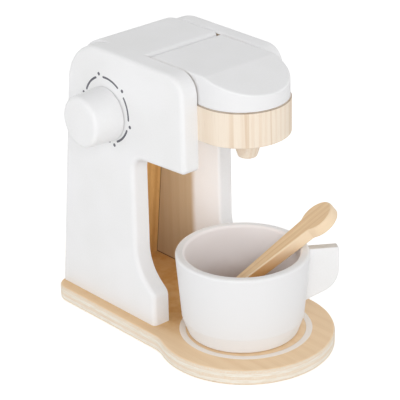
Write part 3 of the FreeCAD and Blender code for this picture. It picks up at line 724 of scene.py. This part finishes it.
def plywood(name, colours):
    """The base board: veneer on both faces, and its layers showing all round the edge.

    The share of edge is 1 minus the level part of the surface's own normal. The layers are a wave
    along Z with one period for two plies, and every second one shows darker end grain. Between the
    side panels the face takes a deeper, warmer colour: painted shade and bounce light of the niche.
    """
    finish = Finish(name)
    layers = wood_layers(finish, colours.board, colours.board_deep, "Y", BOARD_RINGS, "X", BOARD_CONTRAST)
    face, roughness, normal = layers
    place = finish.place()
    period = 2.0 * (BASE_HIGH.z - BASE_LOW.z) / PLY_COUNT
    wobble = finish.noise(finish.stretched((1.0, 1.0, 4.0)), 90.0, detail=2.0)
    phase = finish.weighted((place["Z"], 2.0 * math.pi / period), (wobble, 0.9))
    layer = finish.ramp(finish.maths("MULTIPLY_ADD", finish.maths("SINE", phase), 0.5, 0.5), 0.42, 0.60)
    ends = finish.noise(finish.stretched((1.0, 1.0, 2.5)), 1100.0, detail=2.0)
    fibres = finish.noise(finish.stretched((0.10, 0.10, 1.0)), 1500.0, detail=2.0)
    fibre_share = finish.ramp(fibres, 0.3, 0.75)
    deep = finish.mixed(finish.ramp(ends, 0.35, 0.7), colours.ply_deep, colours.board_deep)
    pale = finish.mixed(fibre_share, colours.ply, colours.ply_deep)
    edge = finish.mixed(finish.times(layer, 0.55), pale, deep)
    # Painted shade and bounce light: between the panels, towards the back, the face goes over into a deeper,
    # warmer wood colour
    between = finish.ramp(finish.maths("ABSOLUTE", place["X"]), *NICHE_SHADE_X, 1.0, 0.0)
    niche = finish.times(between, finish.ramp(place["Y"], *NICHE_SHADE_Y))
    warm = finish.mixed(fibre_share, colours.board_niche_shade, colours.back_deep)
    face = finish.mixed(niche, face, warm)
    colour = finish.mixed(finish.ramp(finish.level(), 0.55, 0.95), edge, face)
    normal = finish.height(finish.times(ends, layer), FIBRE_DEPTH, 0.5, under=normal)
    return finish.finish(colour, roughness, normal, WOOD_GLOSS)


def half_painted_board(name, colours, inward):
    """A side panel: white paint outside and over its edges, bare wood deep inside.

    On the inner face the share of bare wood is a soft step along Y, bent by noise, because the spray
    reaches only a short way in. Where the head, lid and block cover that face it is bare as well, with a
    share of painted shade over it for the gaps. Painted shade also darkens the corners where it meets
    the back panel and the base board.
    """
    finish = Finish(name)
    paint, paint_roughness, paint_normal = paint_layers(finish, colours, "Z")
    layers = wood_layers(finish, colours.raw, colours.raw_deep, "Z", PANEL_RINGS, "Y", PANEL_CONTRAST)
    wood, wood_roughness, wood_normal = layers
    place = finish.place()
    on_inner = finish.ramp(finish.facing(inward), 0.90, 0.99)
    haze = finish.noise(finish.stretched((1.0, 1.0, 0.5)), 45.0)
    reach = finish.maths("ADD", place["Y"], finish.times(haze, SPRAY_WANDER))
    covered = finish.ramp(place["Z"], HEAD_LOW.z, HEAD_LOW.z + MILLIMETRE)
    bare = finish.times(finish.maths("MAXIMUM", finish.ramp(reach, *SPRAY_Y), covered), on_inner)
    # Painted shade: the corners against the back panel and the base board take the dark brown shade colour,
    # and the covered part takes a share of it
    before_back = finish.maths("ADD", place["Y"], finish.times(place["Z"], BACK_LEAN))
    to_back = finish.maths("SUBTRACT", BACK_FRONT_Y, before_back)
    corner = finish.ramp(to_back, *CORNER_SEAM_SHADE, 1.0, 0.0)
    foot = finish.ramp(place["Z"], *FOOT_SEAM_SHADE_Z, 1.0, 0.0)
    dark = finish.maths("MAXIMUM", finish.maths("MAXIMUM", corner, foot), finish.times(covered, COVERED_SHADE_SHARE))
    colour = finish.mixed(bare, paint, finish.mixed(dark, wood, colours.seam))
    roughness = finish.mixed(bare, paint_roughness, wood_roughness, "FLOAT")
    normal = finish.mixed(bare, paint_normal, wood_normal, "VECTOR")
    return finish.finish(colour, roughness, normal, PANEL_GLOSS)


def printed_ink(name, shade, mottle):
    """Screen-printed ink: an even colour with faint mottling and a dry, slightly rough face."""
    finish = Finish(name)
    cells = finish.noise(finish.stretched(), 1300.0, detail=2.0)
    thin = tuple(min(1.0, value * (1.0 + mottle)) for value in shade)
    colour = finish.mixed(finish.ramp(cells, 0.3, 0.75), shade, thin)
    normal = finish.height(cells, INK_DEPTH, 0.4)
    return finish.finish(colour, finish.ramp(cells, 0.3, 0.7, 0.48, 0.62), normal)


def plain_steel(name, shade, axis):
    """Zinc-plated steel, drawn along the axis: fine scratches and soft clouds in its gloss."""
    finish = Finish(name)
    scratches = finish.noise(finish.along(axis, 0.05), 3200.0, detail=2.0)
    clouds = finish.noise(finish.stretched(), 240.0, detail=2.0)
    dull = tuple(value * 0.8 for value in shade)
    colour = finish.mixed(finish.ramp(clouds, 0.3, 0.7), shade, dull)
    roughness = finish.ramp(scratches, 0.3, 0.7, 0.28, 0.42)
    return finish.finish(colour, roughness, finish.height(scratches, SCRATCH_DEPTH, 0.3), Metallic=1.0)


def spoon_wood(name, colours, along, across):
    """Wood whose grain runs along the spoon: object coordinates are turned so that X is its length.

    The sides and edge roundings are painted paler than the flat faces, as painted light and a painted
    highlight along the edges, and painted shade darkens the sides low in the cup.
    """
    finish = Finish(name)
    upward = np.cross(along, across)
    base = finish.node("Mapping", Vector=finish.space["Object"])
    base.inputs["Rotation"].default_value = Matrix((along, across, upward)).to_euler("XYZ")

    def drawn(share):
        mapping = finish.node("Mapping", Vector=base.outputs["Vector"], Scale=(share, 1.0, 1.0))
        return mapping.outputs["Vector"]

    rings = finish.ramp(finish.bands(drawn(0.06), 58.0, 2.4, "Y"), 0.2, 1.0)
    fibres = finish.noise(drawn(0.03), 1700.0)
    streaks = finish.noise(drawn(0.02), 420.0, detail=2.0)
    share = finish.weighted(
        (rings, 0.25), (finish.ramp(fibres, 0.35, 0.75), 0.25), (finish.ramp(streaks, 0.35, 0.8), 0.3)
    )
    face = finish.mixed(share, colours.spoon, colours.spoon_deep)
    # Painted light and shade: sides and edge roundings take the pale side colour, and below the rim the
    # sides take the darker side colour of the shade
    edge = finish.mixed(finish.times(share, 0.45), colours.spoon_side_light, colours.spoon)
    sides = finish.ramp(finish.level(upward), 0.25, 0.6, 1.0, 0.0)
    low = finish.ramp(finish.place()["Z"], *SPOON_SHADE_Z, 1.0, 0.0)
    edge = finish.mixed(finish.times(sides, low), edge, colours.spoon_side_shade)
    colour = finish.mixed(finish.ramp(finish.facing(upward), 0.93, 0.99), edge, face)
    normal = finish.height(fibres, FIBRE_DEPTH, 0.35)
    return finish.finish(colour, finish.ramp(fibres, 0.3, 0.8, 0.46, 0.62), normal, SPOON_GLOSS)


def dress(name, material):
    """Gives a CAD node its material."""
    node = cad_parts[name]
    for index in range(len(node.data.materials)):
        node.data.materials[index] = material


def dressed_piece(piece, material, body, replaced=()):
    """Finishes a new piece: its material, the body that it rides on and the nodes that it stands for."""
    piece.data.materials.append(material)
    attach(piece, body)
    if replaced:
        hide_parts(*replaced)


def close_seams(piece, distance):
    """Merges points that lie in the same place, and turns all faces outwards again."""
    work = bmesh.new()
    work.from_mesh(piece.data)
    bmesh.ops.remove_doubles(work, verts=work.verts, dist=distance)
    bmesh.ops.dissolve_degenerate(work, edges=work.edges, dist=distance / 10)
    bmesh.ops.recalc_face_normals(work, faces=work.faces)
    work.to_mesh(piece.data)
    work.free()
    piece.data.polygons.foreach_set("use_smooth", np.ones(len(piece.data.polygons), bool))


class COFFEE_OT_base_board(Operator):
    """Finishes the base board and prints the ring round the cup's place"""

    bl_idname = "coffee.base_board"
    bl_label = "Base board and ring"

    def execute(self, context):
        colours = context.scene.coffee_colours
        sizes = context.scene.coffee_sizes
        dress("base_board", plywood("plywood_board", colours))
        section = printed_section(sizes.ring_outer - sizes.ring_inner, sizes.print_height)
        radius = (sizes.ring_outer + sizes.ring_inner) / 2
        ring = printed_ring("stand_ring_print", STAND_CENTER, radius, section, 2 * sizes.turned_steps)
        dressed_piece(ring, printed_ink("ring_ink", colours.ring, RING_MOTTLE), "frame")
        return {"FINISHED"}


class COFFEE_OT_body(Operator):
    """Paints the side panels and the top block, and finishes the bare back panel"""

    bl_idname = "coffee.body"
    bl_label = "Body"

    def execute(self, context):
        colours = context.scene.coffee_colours
        dress("left_side_panel", half_painted_board("left_panel_finish", colours, RIGHT))
        dress("right_side_panel", half_painted_board("right_panel_finish", colours, -RIGHT))
        dress("rear_top_block", painted_board("top_block_paint", colours, "X"))
        dress("back_panel", bare_wood("back_panel_wood", colours.back, colours.back_deep, "Z", BACK_RINGS))
        return {"FINISHED"}


class COFFEE_OT_dial(Operator):
    """Prints the dial's arcs and dots on the left panel"""

    bl_idname = "coffee.dial"
    bl_label = "Dial"

    def execute(self, context):
        sizes = context.scene.coffee_sizes
        ink = printed_ink("dial_ink", context.scene.coffee_colours.ink, DIAL_MOTTLE)
        middle = np.array((PANEL_LOW.x, KNOB_CENTER.y, KNOB_CENTER.z + sizes.dial_rise))
        line = printed_section(sizes.dial_line, sizes.print_height)
        u = np.linspace(0.0, 1.0, 8)
        cap = np.stack((u * sizes.dial_dot / 2, sizes.print_height * (1.0 - INK_FALL * u ** 4)), axis=1)
        profile = np.vstack((cap, ((0.0, -INK_FOOT * sizes.print_height),)))
        for index in range(DIAL_MARKS):
            bearing = DIAL_FIRST + index * DIAL_STEP
            start = math.radians(bearing + DIAL_GAP)
            end = math.radians(bearing + DIAL_STEP - DIAL_GAP)
            arc = printed_arc(f"dial_arc_{index + 1}", middle, sizes.dial_radius, start, end, line, -RIGHT)
            dressed_piece(arc, ink, "frame")
            turn = math.radians(bearing)
            place = middle + sizes.dial_dot_radius * (math.cos(turn) * FRONT + math.sin(turn) * UP)
            dot = turned_piece(f"dial_dot_{index + 1}", profile, place, -RIGHT, UP, DOT_STEPS)
            dressed_piece(dot, ink, "frame")
        return {"FINISHED"}


class COFFEE_OT_brew_head(Operator):
    """Finishes the brew head and turns the nozzle under it"""

    bl_idname = "coffee.brew_head"
    bl_label = "Brew head and nozzle"

    def execute(self, context):
        colours = context.scene.coffee_colours
        sizes = context.scene.coffee_sizes
        dress("brew_head", head_wood("brew_head_wood", colours))
        tip = NOZZLE_LOW.z
        shoulder = HEAD_LOW.z
        corners = (
            (0.0, tip, 0.0),
            (sizes.nozzle_tip, tip, sizes.nozzle_edge),
            (sizes.nozzle_waist, tip + sizes.nozzle_waist_height, NOZZLE_WAIST_EDGE),
            ((NOZZLE_HIGH.x - NOZZLE_LOW.x) / 2, shoulder, 0.0),
            (sizes.nozzle_tenon, shoulder, 0.0),
            (sizes.nozzle_tenon, shoulder + sizes.nozzle_tenon_length, 0.0),
            (0.0, shoulder + sizes.nozzle_tenon_length, 0.0),
        )
        profile = subdivided(corner_rounded(corners), NOZZLE_STEP)
        place = np.array((NOZZLE_CENTER.x, NOZZLE_CENTER.y, 0.0))
        nozzle = turned_piece("turned_nozzle", profile, place, UP, RIGHT, sizes.turned_steps)
        wood = bare_wood("nozzle_wood", colours.head, colours.head_deep, "Z", NOZZLE_RINGS, NOZZLE_SHIFT)
        dressed_piece(nozzle, wood, "frame", ["nozzle"])
        return {"FINISHED"}


class COFFEE_OT_lid(Operator):
    """Paints the lid"""

    bl_idname = "coffee.lid"
    bl_label = "Lid"

    def execute(self, context):
        dress("lid", painted_lid("lid_paint", context.scene.coffee_colours))
        return {"FINISHED"}


class COFFEE_OT_knob(Operator):
    """Turns the knob, with a face that is a little crowned"""

    bl_idname = "coffee.knob"
    bl_label = "Knob"

    def execute(self, context):
        sizes = context.scene.coffee_sizes
        length = KNOB_HIGH.x - KNOB_LOW.x
        face = length - sizes.knob_crown
        corners = (
            (0.0, 0.0, 0.0),
            ((KNOB_HIGH.z - KNOB_LOW.z) / 2, 0.0, sizes.knob_rim),
            (sizes.knob_face, face, sizes.knob_edge),
            (0.0, face, 0.0),
        )
        profile = subdivided(corner_rounded(corners, TURNED_ARC_STEPS), KNOB_STEP)
        flat_radius = sizes.knob_face - sizes.knob_edge
        share = np.clip(1.0 - (profile[:, 0] / flat_radius) ** 2, 0.0, 1.0)
        profile[:, 1] += np.where(profile[:, 1] > length / 2, sizes.knob_crown * share, 0.0)
        place = np.array((KNOB_HIGH.x, KNOB_CENTER.y, KNOB_CENTER.z))
        knob = turned_piece("turned_knob", profile, place, -RIGHT, UP, sizes.turned_steps)
        paint = painted_board("knob_paint_finish", context.scene.coffee_colours, "X")
        dressed_piece(knob, paint, "knob", ["knob"])
        return {"FINISHED"}


class COFFEE_OT_cup(Operator):
    """Turns the cup and paints it and its handle"""

    bl_idname = "coffee.cup"
    bl_label = "Cup"

    def execute(self, context):
        sizes = context.scene.coffee_sizes
        colours = context.scene.coffee_colours
        height = CUP_HIGH.z - CUP_LOW.z + sizes.cup_crown
        taper = (sizes.cup_rim - sizes.cup_heel) / height
        bevel_top = sizes.cup_heel + taper * sizes.cup_bevel_height
        corners = (
            (0.0, 0.0, 0.0),
            (sizes.cup_foot, 0.0, sizes.cup_foot_edge),
            (bevel_top, sizes.cup_bevel_height, sizes.cup_bevel_edge),
            (sizes.cup_rim, height, sizes.cup_lip),
            (sizes.cup_rim - sizes.cup_wall, height, sizes.cup_lip),
            (sizes.cup_heel - sizes.cup_wall, sizes.cup_floor, sizes.cup_floor_blend),
            (0.0, sizes.cup_floor, 0.0),
        )
        profile = subdivided(corner_rounded(corners, TURNED_ARC_STEPS), CUP_STEP)
        place = np.array((CUP_CENTER.x, CUP_CENTER.y, CUP_LOW.z))
        cup = turned_piece("turned_cup", profile, place, UP, RIGHT, sizes.turned_steps)
        dressed_piece(cup, painted_cup("cup_paint_finish", colours), "cup", ["cup"])
        dress("cup_handle", painted_handle("handle_paint_finish", colours))
        return {"FINISHED"}


def spoon_half_width(x, sizes):
    """Half the spoon's width at each place along it.

    It is the largest of the bowl's ellipse, the shaft's straight taper and the grip's circle, joined
    by the p-th root of the sum of their p-th powers so that the inner corners are a little round.
    """
    grip_center = sizes.spoon_length - sizes.spoon_grip
    half_bowl = sizes.spoon_bowl_length / 2
    bowl = sizes.spoon_bowl_width / 2 * np.sqrt(np.clip(1 - ((x - half_bowl) / half_bowl) ** 2, 0, 1))
    grip = np.sqrt(np.clip(sizes.spoon_grip ** 2 - (x - grip_center) ** 2, 0, None))
    share = np.clip((x - sizes.spoon_bowl_length) / (grip_center - sizes.spoon_bowl_length), 0, 1)
    shaft = (sizes.spoon_neck + (sizes.spoon_shaft - sizes.spoon_neck) * share) / 2
    shaft = np.where((x > half_bowl) & (x < grip_center), shaft, 0.0)
    parts = np.stack((bowl, grip, shaft)) / sizes.spoon_grip
    return sizes.spoon_grip * np.sum(parts ** SPOON_CORNER_POWER, axis=0) ** (1.0 / SPOON_CORNER_POWER)


def spoon_axes(sizes):
    """The spoon's place: its toe's middle point and its directions along, across and up.

    Its underside lies parallel to the line from below the cup's floor to the middle of the lip's
    rounding, above it by the lip's radius, the gap and the rim's curve under the shaft.
    """
    def on_cup(radius, bearing, z):
        turn = math.radians(bearing)
        return np.array((CUP_CENTER.x + radius * math.cos(turn), CUP_CENTER.y + radius * math.sin(turn), z))

    toe_z = CUP_LOW.z + sizes.cup_floor - sizes.spoon_rest_lip
    toe = on_cup(sizes.spoon_toe_radius, SPOON_TOE_BEARING, toe_z)
    lip = on_cup(sizes.spoon_rest_radius, SPOON_RIM_BEARING, CUP_HIGH.z - sizes.spoon_rest_lip)
    along = (lip - toe) / np.linalg.norm(lip - toe)
    turn = math.radians(SPOON_RIM_BEARING)
    upward = np.cross(along, np.array((-math.sin(turn), math.cos(turn), 0.0)))
    upward = upward / np.linalg.norm(upward)
    across = np.cross(upward, along)
    rim_curve = (sizes.spoon_shaft / 2) ** 2 / (2 * sizes.spoon_rest_radius) * along[2]
    lift = sizes.spoon_rest_lip + sizes.spoon_gap + rim_curve + sizes.spoon_thickness / 2
    return toe + upward * lift, along, across, upward


class COFFEE_OT_spoon(Operator):
    """Carves the spoon: a flat blank with rounded edges and a hollowed bowl"""

    bl_idname = "coffee.spoon"
    bl_label = "Spoon"

    def execute(self, context):
        """The outline is (x, w(x)) and its mirror image, with x spaced as a half cosine wave.

        Each row of the grid is that outline moved in along its normal and up or down: from the
        middle line of the top to its edge, round the edge, down the side and back underneath.
        Inside the bowl the top sinks by depth * (1 - q) ^ power, where q is the square of the
        elliptic distance from the bowl's middle.
        """
        sizes = context.scene.coffee_sizes
        length = sizes.spoon_length
        x = length / 2 * (1 - np.cos(np.linspace(0.0, math.pi, SPOON_OUTLINE_STEPS)))
        half = spoon_half_width(x, sizes)
        half[[0, -1]] = 0.0
        outline = np.stack((np.concatenate((x, x[-2:0:-1])), np.concatenate((half, -half[-2:0:-1]))), axis=1)
        tangent = np.roll(outline, -1, axis=0) - np.roll(outline, 1, axis=0)
        tangent = tangent / np.linalg.norm(tangent, axis=1)[:, None]
        inward = np.stack((tangent[:, 1], -tangent[:, 0]), axis=1)
        edge = sizes.spoon_edge
        top = sizes.spoon_thickness / 2
        turn = np.linspace(0.0, math.pi / 2, SPOON_EDGE_STEPS)
        inset = np.concatenate((edge * (1 - np.sin(turn)), edge * (1 - np.cos(turn[1:]))))
        level = np.concatenate((top - edge * (1 - np.cos(turn)), -(top - edge) - edge * np.sin(turn[1:])))
        rim = outline[None] + inward[None] * inset[:, None, None]
        spread = np.linspace(0.0, 1.0, SPOON_FACE_STEPS, endpoint=False)[:, None]
        inner = outline + inward * edge
        middle_x = np.clip(outline[:, 0], edge * SPINE_INSET, length - edge * SPINE_INSET)
        face_x = middle_x[None] + (inner[None, :, 0] - middle_x[None]) * spread
        face = np.stack((face_x, inner[None, :, 1] * spread), axis=-1)
        plan = np.concatenate((face, rim, face[::-1]))
        heights = np.concatenate((np.full(SPOON_FACE_STEPS, top), level, np.full(SPOON_FACE_STEPS, -top)))
        z = np.broadcast_to(heights[:, None], plan.shape[:2])
        half_bowl = sizes.spoon_bowl_length / 2
        distance = ((plan[..., 0] - half_bowl) / (half_bowl - BOWL_MARGIN)) ** 2
        distance = distance + (plan[..., 1] / (sizes.spoon_bowl_width / 2 - BOWL_MARGIN)) ** 2
        sink = sizes.spoon_hollow * np.clip(1 - distance, 0, 1) ** BOWL_POWER
        z = np.where(z > top - edge, z - sink, z)
        toe, along, across, upward = spoon_axes(sizes)
        points = toe + plan[..., 0:1] * along + plan[..., 1:2] * across + z[..., None] * upward
        index = np.arange(z.size).reshape(z.shape)
        spoon = mesh_piece("carved_spoon", points.reshape(-1, 3), [woven(index)])
        close_seams(spoon, MERGE_DISTANCE)
        wood = spoon_wood("spoon_wood_finish", context.scene.coffee_colours, along, across)
        dressed_piece(spoon, wood, "spoon", ["spoon"])
        return {"FINISHED"}


class COFFEE_OT_fixings(Operator):
    """Finishes the dowels, pins, screws, washer and hinge rod"""

    bl_idname = "coffee.fixings"
    bl_label = "Fixings"

    def execute(self, context):
        colours = context.scene.coffee_colours
        beech = bare_wood("dowel_beech", colours.dowel, colours.dowel_deep, "X", DOWEL_RINGS)
        for name in ("brew_head_dowels", "block_dowels", "back_panel_dowels", "handle_pins"):
            dress(name, beech)
        zinc = plain_steel("zinc_finish", colours.steel, "Z")
        for name in ("base_screws", "knob_screw", "knob_washer"):
            dress(name, zinc)
        dress("lid_hinge_rod", plain_steel("rod_finish", colours.steel, "X"))
        return {"FINISHED"}


def softbox(name, place, target, width, height, power):
    """A large soft lamp that faces a point and doesn't show itself."""
    data = bpy.data.lights.new(name, "AREA")
    data.shape = "RECTANGLE"
    data.size = width
    data.size_y = height
    data.energy = power
    lamp = bpy.data.objects.new(name, data)
    bpy.context.scene.collection.objects.link(lamp)
    lamp.location = place
    lamp.rotation_euler = (Vector(target) - Vector(place)).to_track_quat("-Z", "Y").to_euler()
    lamp.visible_camera = False


class COFFEE_OT_stage(Operator):
    """Sets up the floor, the light, the white background and the camera"""

    bl_idname = "coffee.stage"
    bl_label = "Stage"

    def execute(self, context):
        scene = context.scene
        stage = scene.coffee_stage
        self.floor(stage.floor_glow)
        self.sky(scene, stage.sky, stage.sky_rim)
        softbox("softbox", LAMP_PLACE, LAMP_TARGET, *LAMP_SIZE, stage.lamp_power)
        softbox("niche_fill", FILL_PLACE, FILL_TARGET, *FILL_SIZE, stage.fill_power)
        self.camera(scene, stage)
        scene.view_settings.view_transform = "Standard"
        return {"FINISHED"}

    def floor(self, glow):
        """A wide pale floor under the toy, with a little light of its own for the camera."""
        reach = FLOOR_REACH
        corners = ((-reach, -reach, 0.0), (reach, -reach, 0.0), (reach, reach, 0.0), (-reach, reach, 0.0))
        mesh = bpy.data.meshes.new("studio_floor")
        mesh.from_pydata(corners, [], [(0, 1, 2, 3)])
        floor = bpy.data.objects.new("studio_floor", mesh)
        bpy.context.scene.collection.objects.link(floor)
        finish = Finish("studio_paper")
        fleck = finish.noise(finish.stretched(), 240.0)
        colour = finish.mixed(fleck, srgb(252, 252, 252), srgb(250, 250, 250))
        ray = finish.node("LightPath").outputs
        finish.give(finish.surface.inputs["Emission Strength"], finish.times(ray["Is Camera Ray"], glow))
        mesh.materials.append(finish.finish(colour, 0.9, None, 0.0, Emission_Color=WHITE))

    def sky(self, scene, overhead, rim):
        """White to the camera and in reflections, and soft light for the rest.

        The soft light is overhead + rim * (1 - z)^2, where z is the height of the unit direction,
        and below the horizon it is overhead + rim.
        """
        world = bpy.data.worlds.new("studio_sky")
        scene.world = world
        world.use_nodes = True
        nodes = Nodes(world.node_tree)
        ray = nodes.node("LightPath").outputs
        seen = nodes.maths("MAXIMUM", ray["Is Camera Ray"], ray["Is Glossy Ray"])
        seen = nodes.maths("MAXIMUM", seen, ray["Is Transmission Ray"])
        height = nodes.node("SeparateXYZ", Vector=nodes.space["Generated"]).outputs["Z"]
        fall = nodes.maths("MINIMUM", nodes.maths("SUBTRACT", 1.0, height), 1.0)
        soft = nodes.maths("MULTIPLY_ADD", nodes.times(fall, fall), rim, overhead)
        level = nodes.node("MapRange", Value=seen, To_Min=soft, To_Max=1.0)
        background = world.node_tree.nodes["Background"]
        nodes.give(background.inputs["Color"], WHITE)
        nodes.give(background.inputs["Strength"], level.outputs["Result"])

    def camera(self, scene, stage):
        """The photograph's view: yaw to the right, pitch down, then a roll about the line of sight."""
        yaw, pitch, roll = stage.camera_yaw, stage.camera_pitch, stage.camera_roll
        ahead = Vector((math.sin(yaw) * math.cos(pitch), math.cos(yaw) * math.cos(pitch), -math.sin(pitch)))
        right = Vector((math.cos(yaw), -math.sin(yaw), 0.0))
        up = right.cross(ahead)
        turned_right = math.cos(roll) * right + math.sin(roll) * up
        turned_up = -math.sin(roll) * right + math.cos(roll) * up
        data = bpy.data.cameras.new("photo_camera")
        data.sensor_width = SENSOR_WIDTH
        data.sensor_height = SENSOR_WIDTH
        data.sensor_fit = "HORIZONTAL"
        data.lens = stage.lens
        camera = bpy.data.objects.new("photo_camera", data)
        scene.collection.objects.link(camera)
        turn = Matrix((turned_right, turned_up, -ahead)).transposed().to_4x4()
        place = Matrix.Translation((stage.camera_x, stage.camera_y, stage.camera_z))
        camera.matrix_world = place @ turn
        scene.camera = camera


class COFFEE_PT_panel(Panel):
    """Lists the steps and the values of the toy coffee maker"""

    bl_idname = "COFFEE_PT_panel"
    bl_label = "Toy coffee maker"
    bl_space_type = "VIEW_3D"
    bl_region_type = "UI"
    bl_category = "Coffee maker"

    def draw(self, context):
        layout = self.layout
        for operator in OPERATORS:
            layout.operator(operator.bl_idname)
        for group in (context.scene.coffee_colours, context.scene.coffee_sizes, context.scene.coffee_stage):
            column = layout.column(align=True)
            for key in group.__annotations__:
                column.prop(group, key)


OPERATORS = (
    COFFEE_OT_base_board,
    COFFEE_OT_body,
    COFFEE_OT_dial,
    COFFEE_OT_brew_head,
    COFFEE_OT_lid,
    COFFEE_OT_knob,
    COFFEE_OT_cup,
    COFFEE_OT_spoon,
    COFFEE_OT_fixings,
    COFFEE_OT_stage,
)
GROUPS = (CoffeeColours, CoffeeSizes, CoffeeStage)


def register():
    for group in GROUPS + OPERATORS + (COFFEE_PT_panel,):
        bpy.utils.register_class(group)
    bpy.types.Scene.coffee_colours = PointerProperty(type=CoffeeColours)
    bpy.types.Scene.coffee_sizes = PointerProperty(type=CoffeeSizes)
    bpy.types.Scene.coffee_stage = PointerProperty(type=CoffeeStage)


def unregister():
    del bpy.types.Scene.coffee_colours
    del bpy.types.Scene.coffee_sizes
    del bpy.types.Scene.coffee_stage
    for group in reversed(GROUPS + OPERATORS + (COFFEE_PT_panel,)):
        bpy.utils.unregister_class(group)


def main():
    """Builds every piece in order."""
    register()
    bpy.ops.coffee.base_board()
    bpy.ops.coffee.body()
    bpy.ops.coffee.dial()
    bpy.ops.coffee.brew_head()
    bpy.ops.coffee.lid()
    bpy.ops.coffee.knob()
    bpy.ops.coffee.cup()
    bpy.ops.coffee.spoon()
    bpy.ops.coffee.fixings()
    bpy.ops.coffee.stage()


if __name__ == "__main__":
    main()
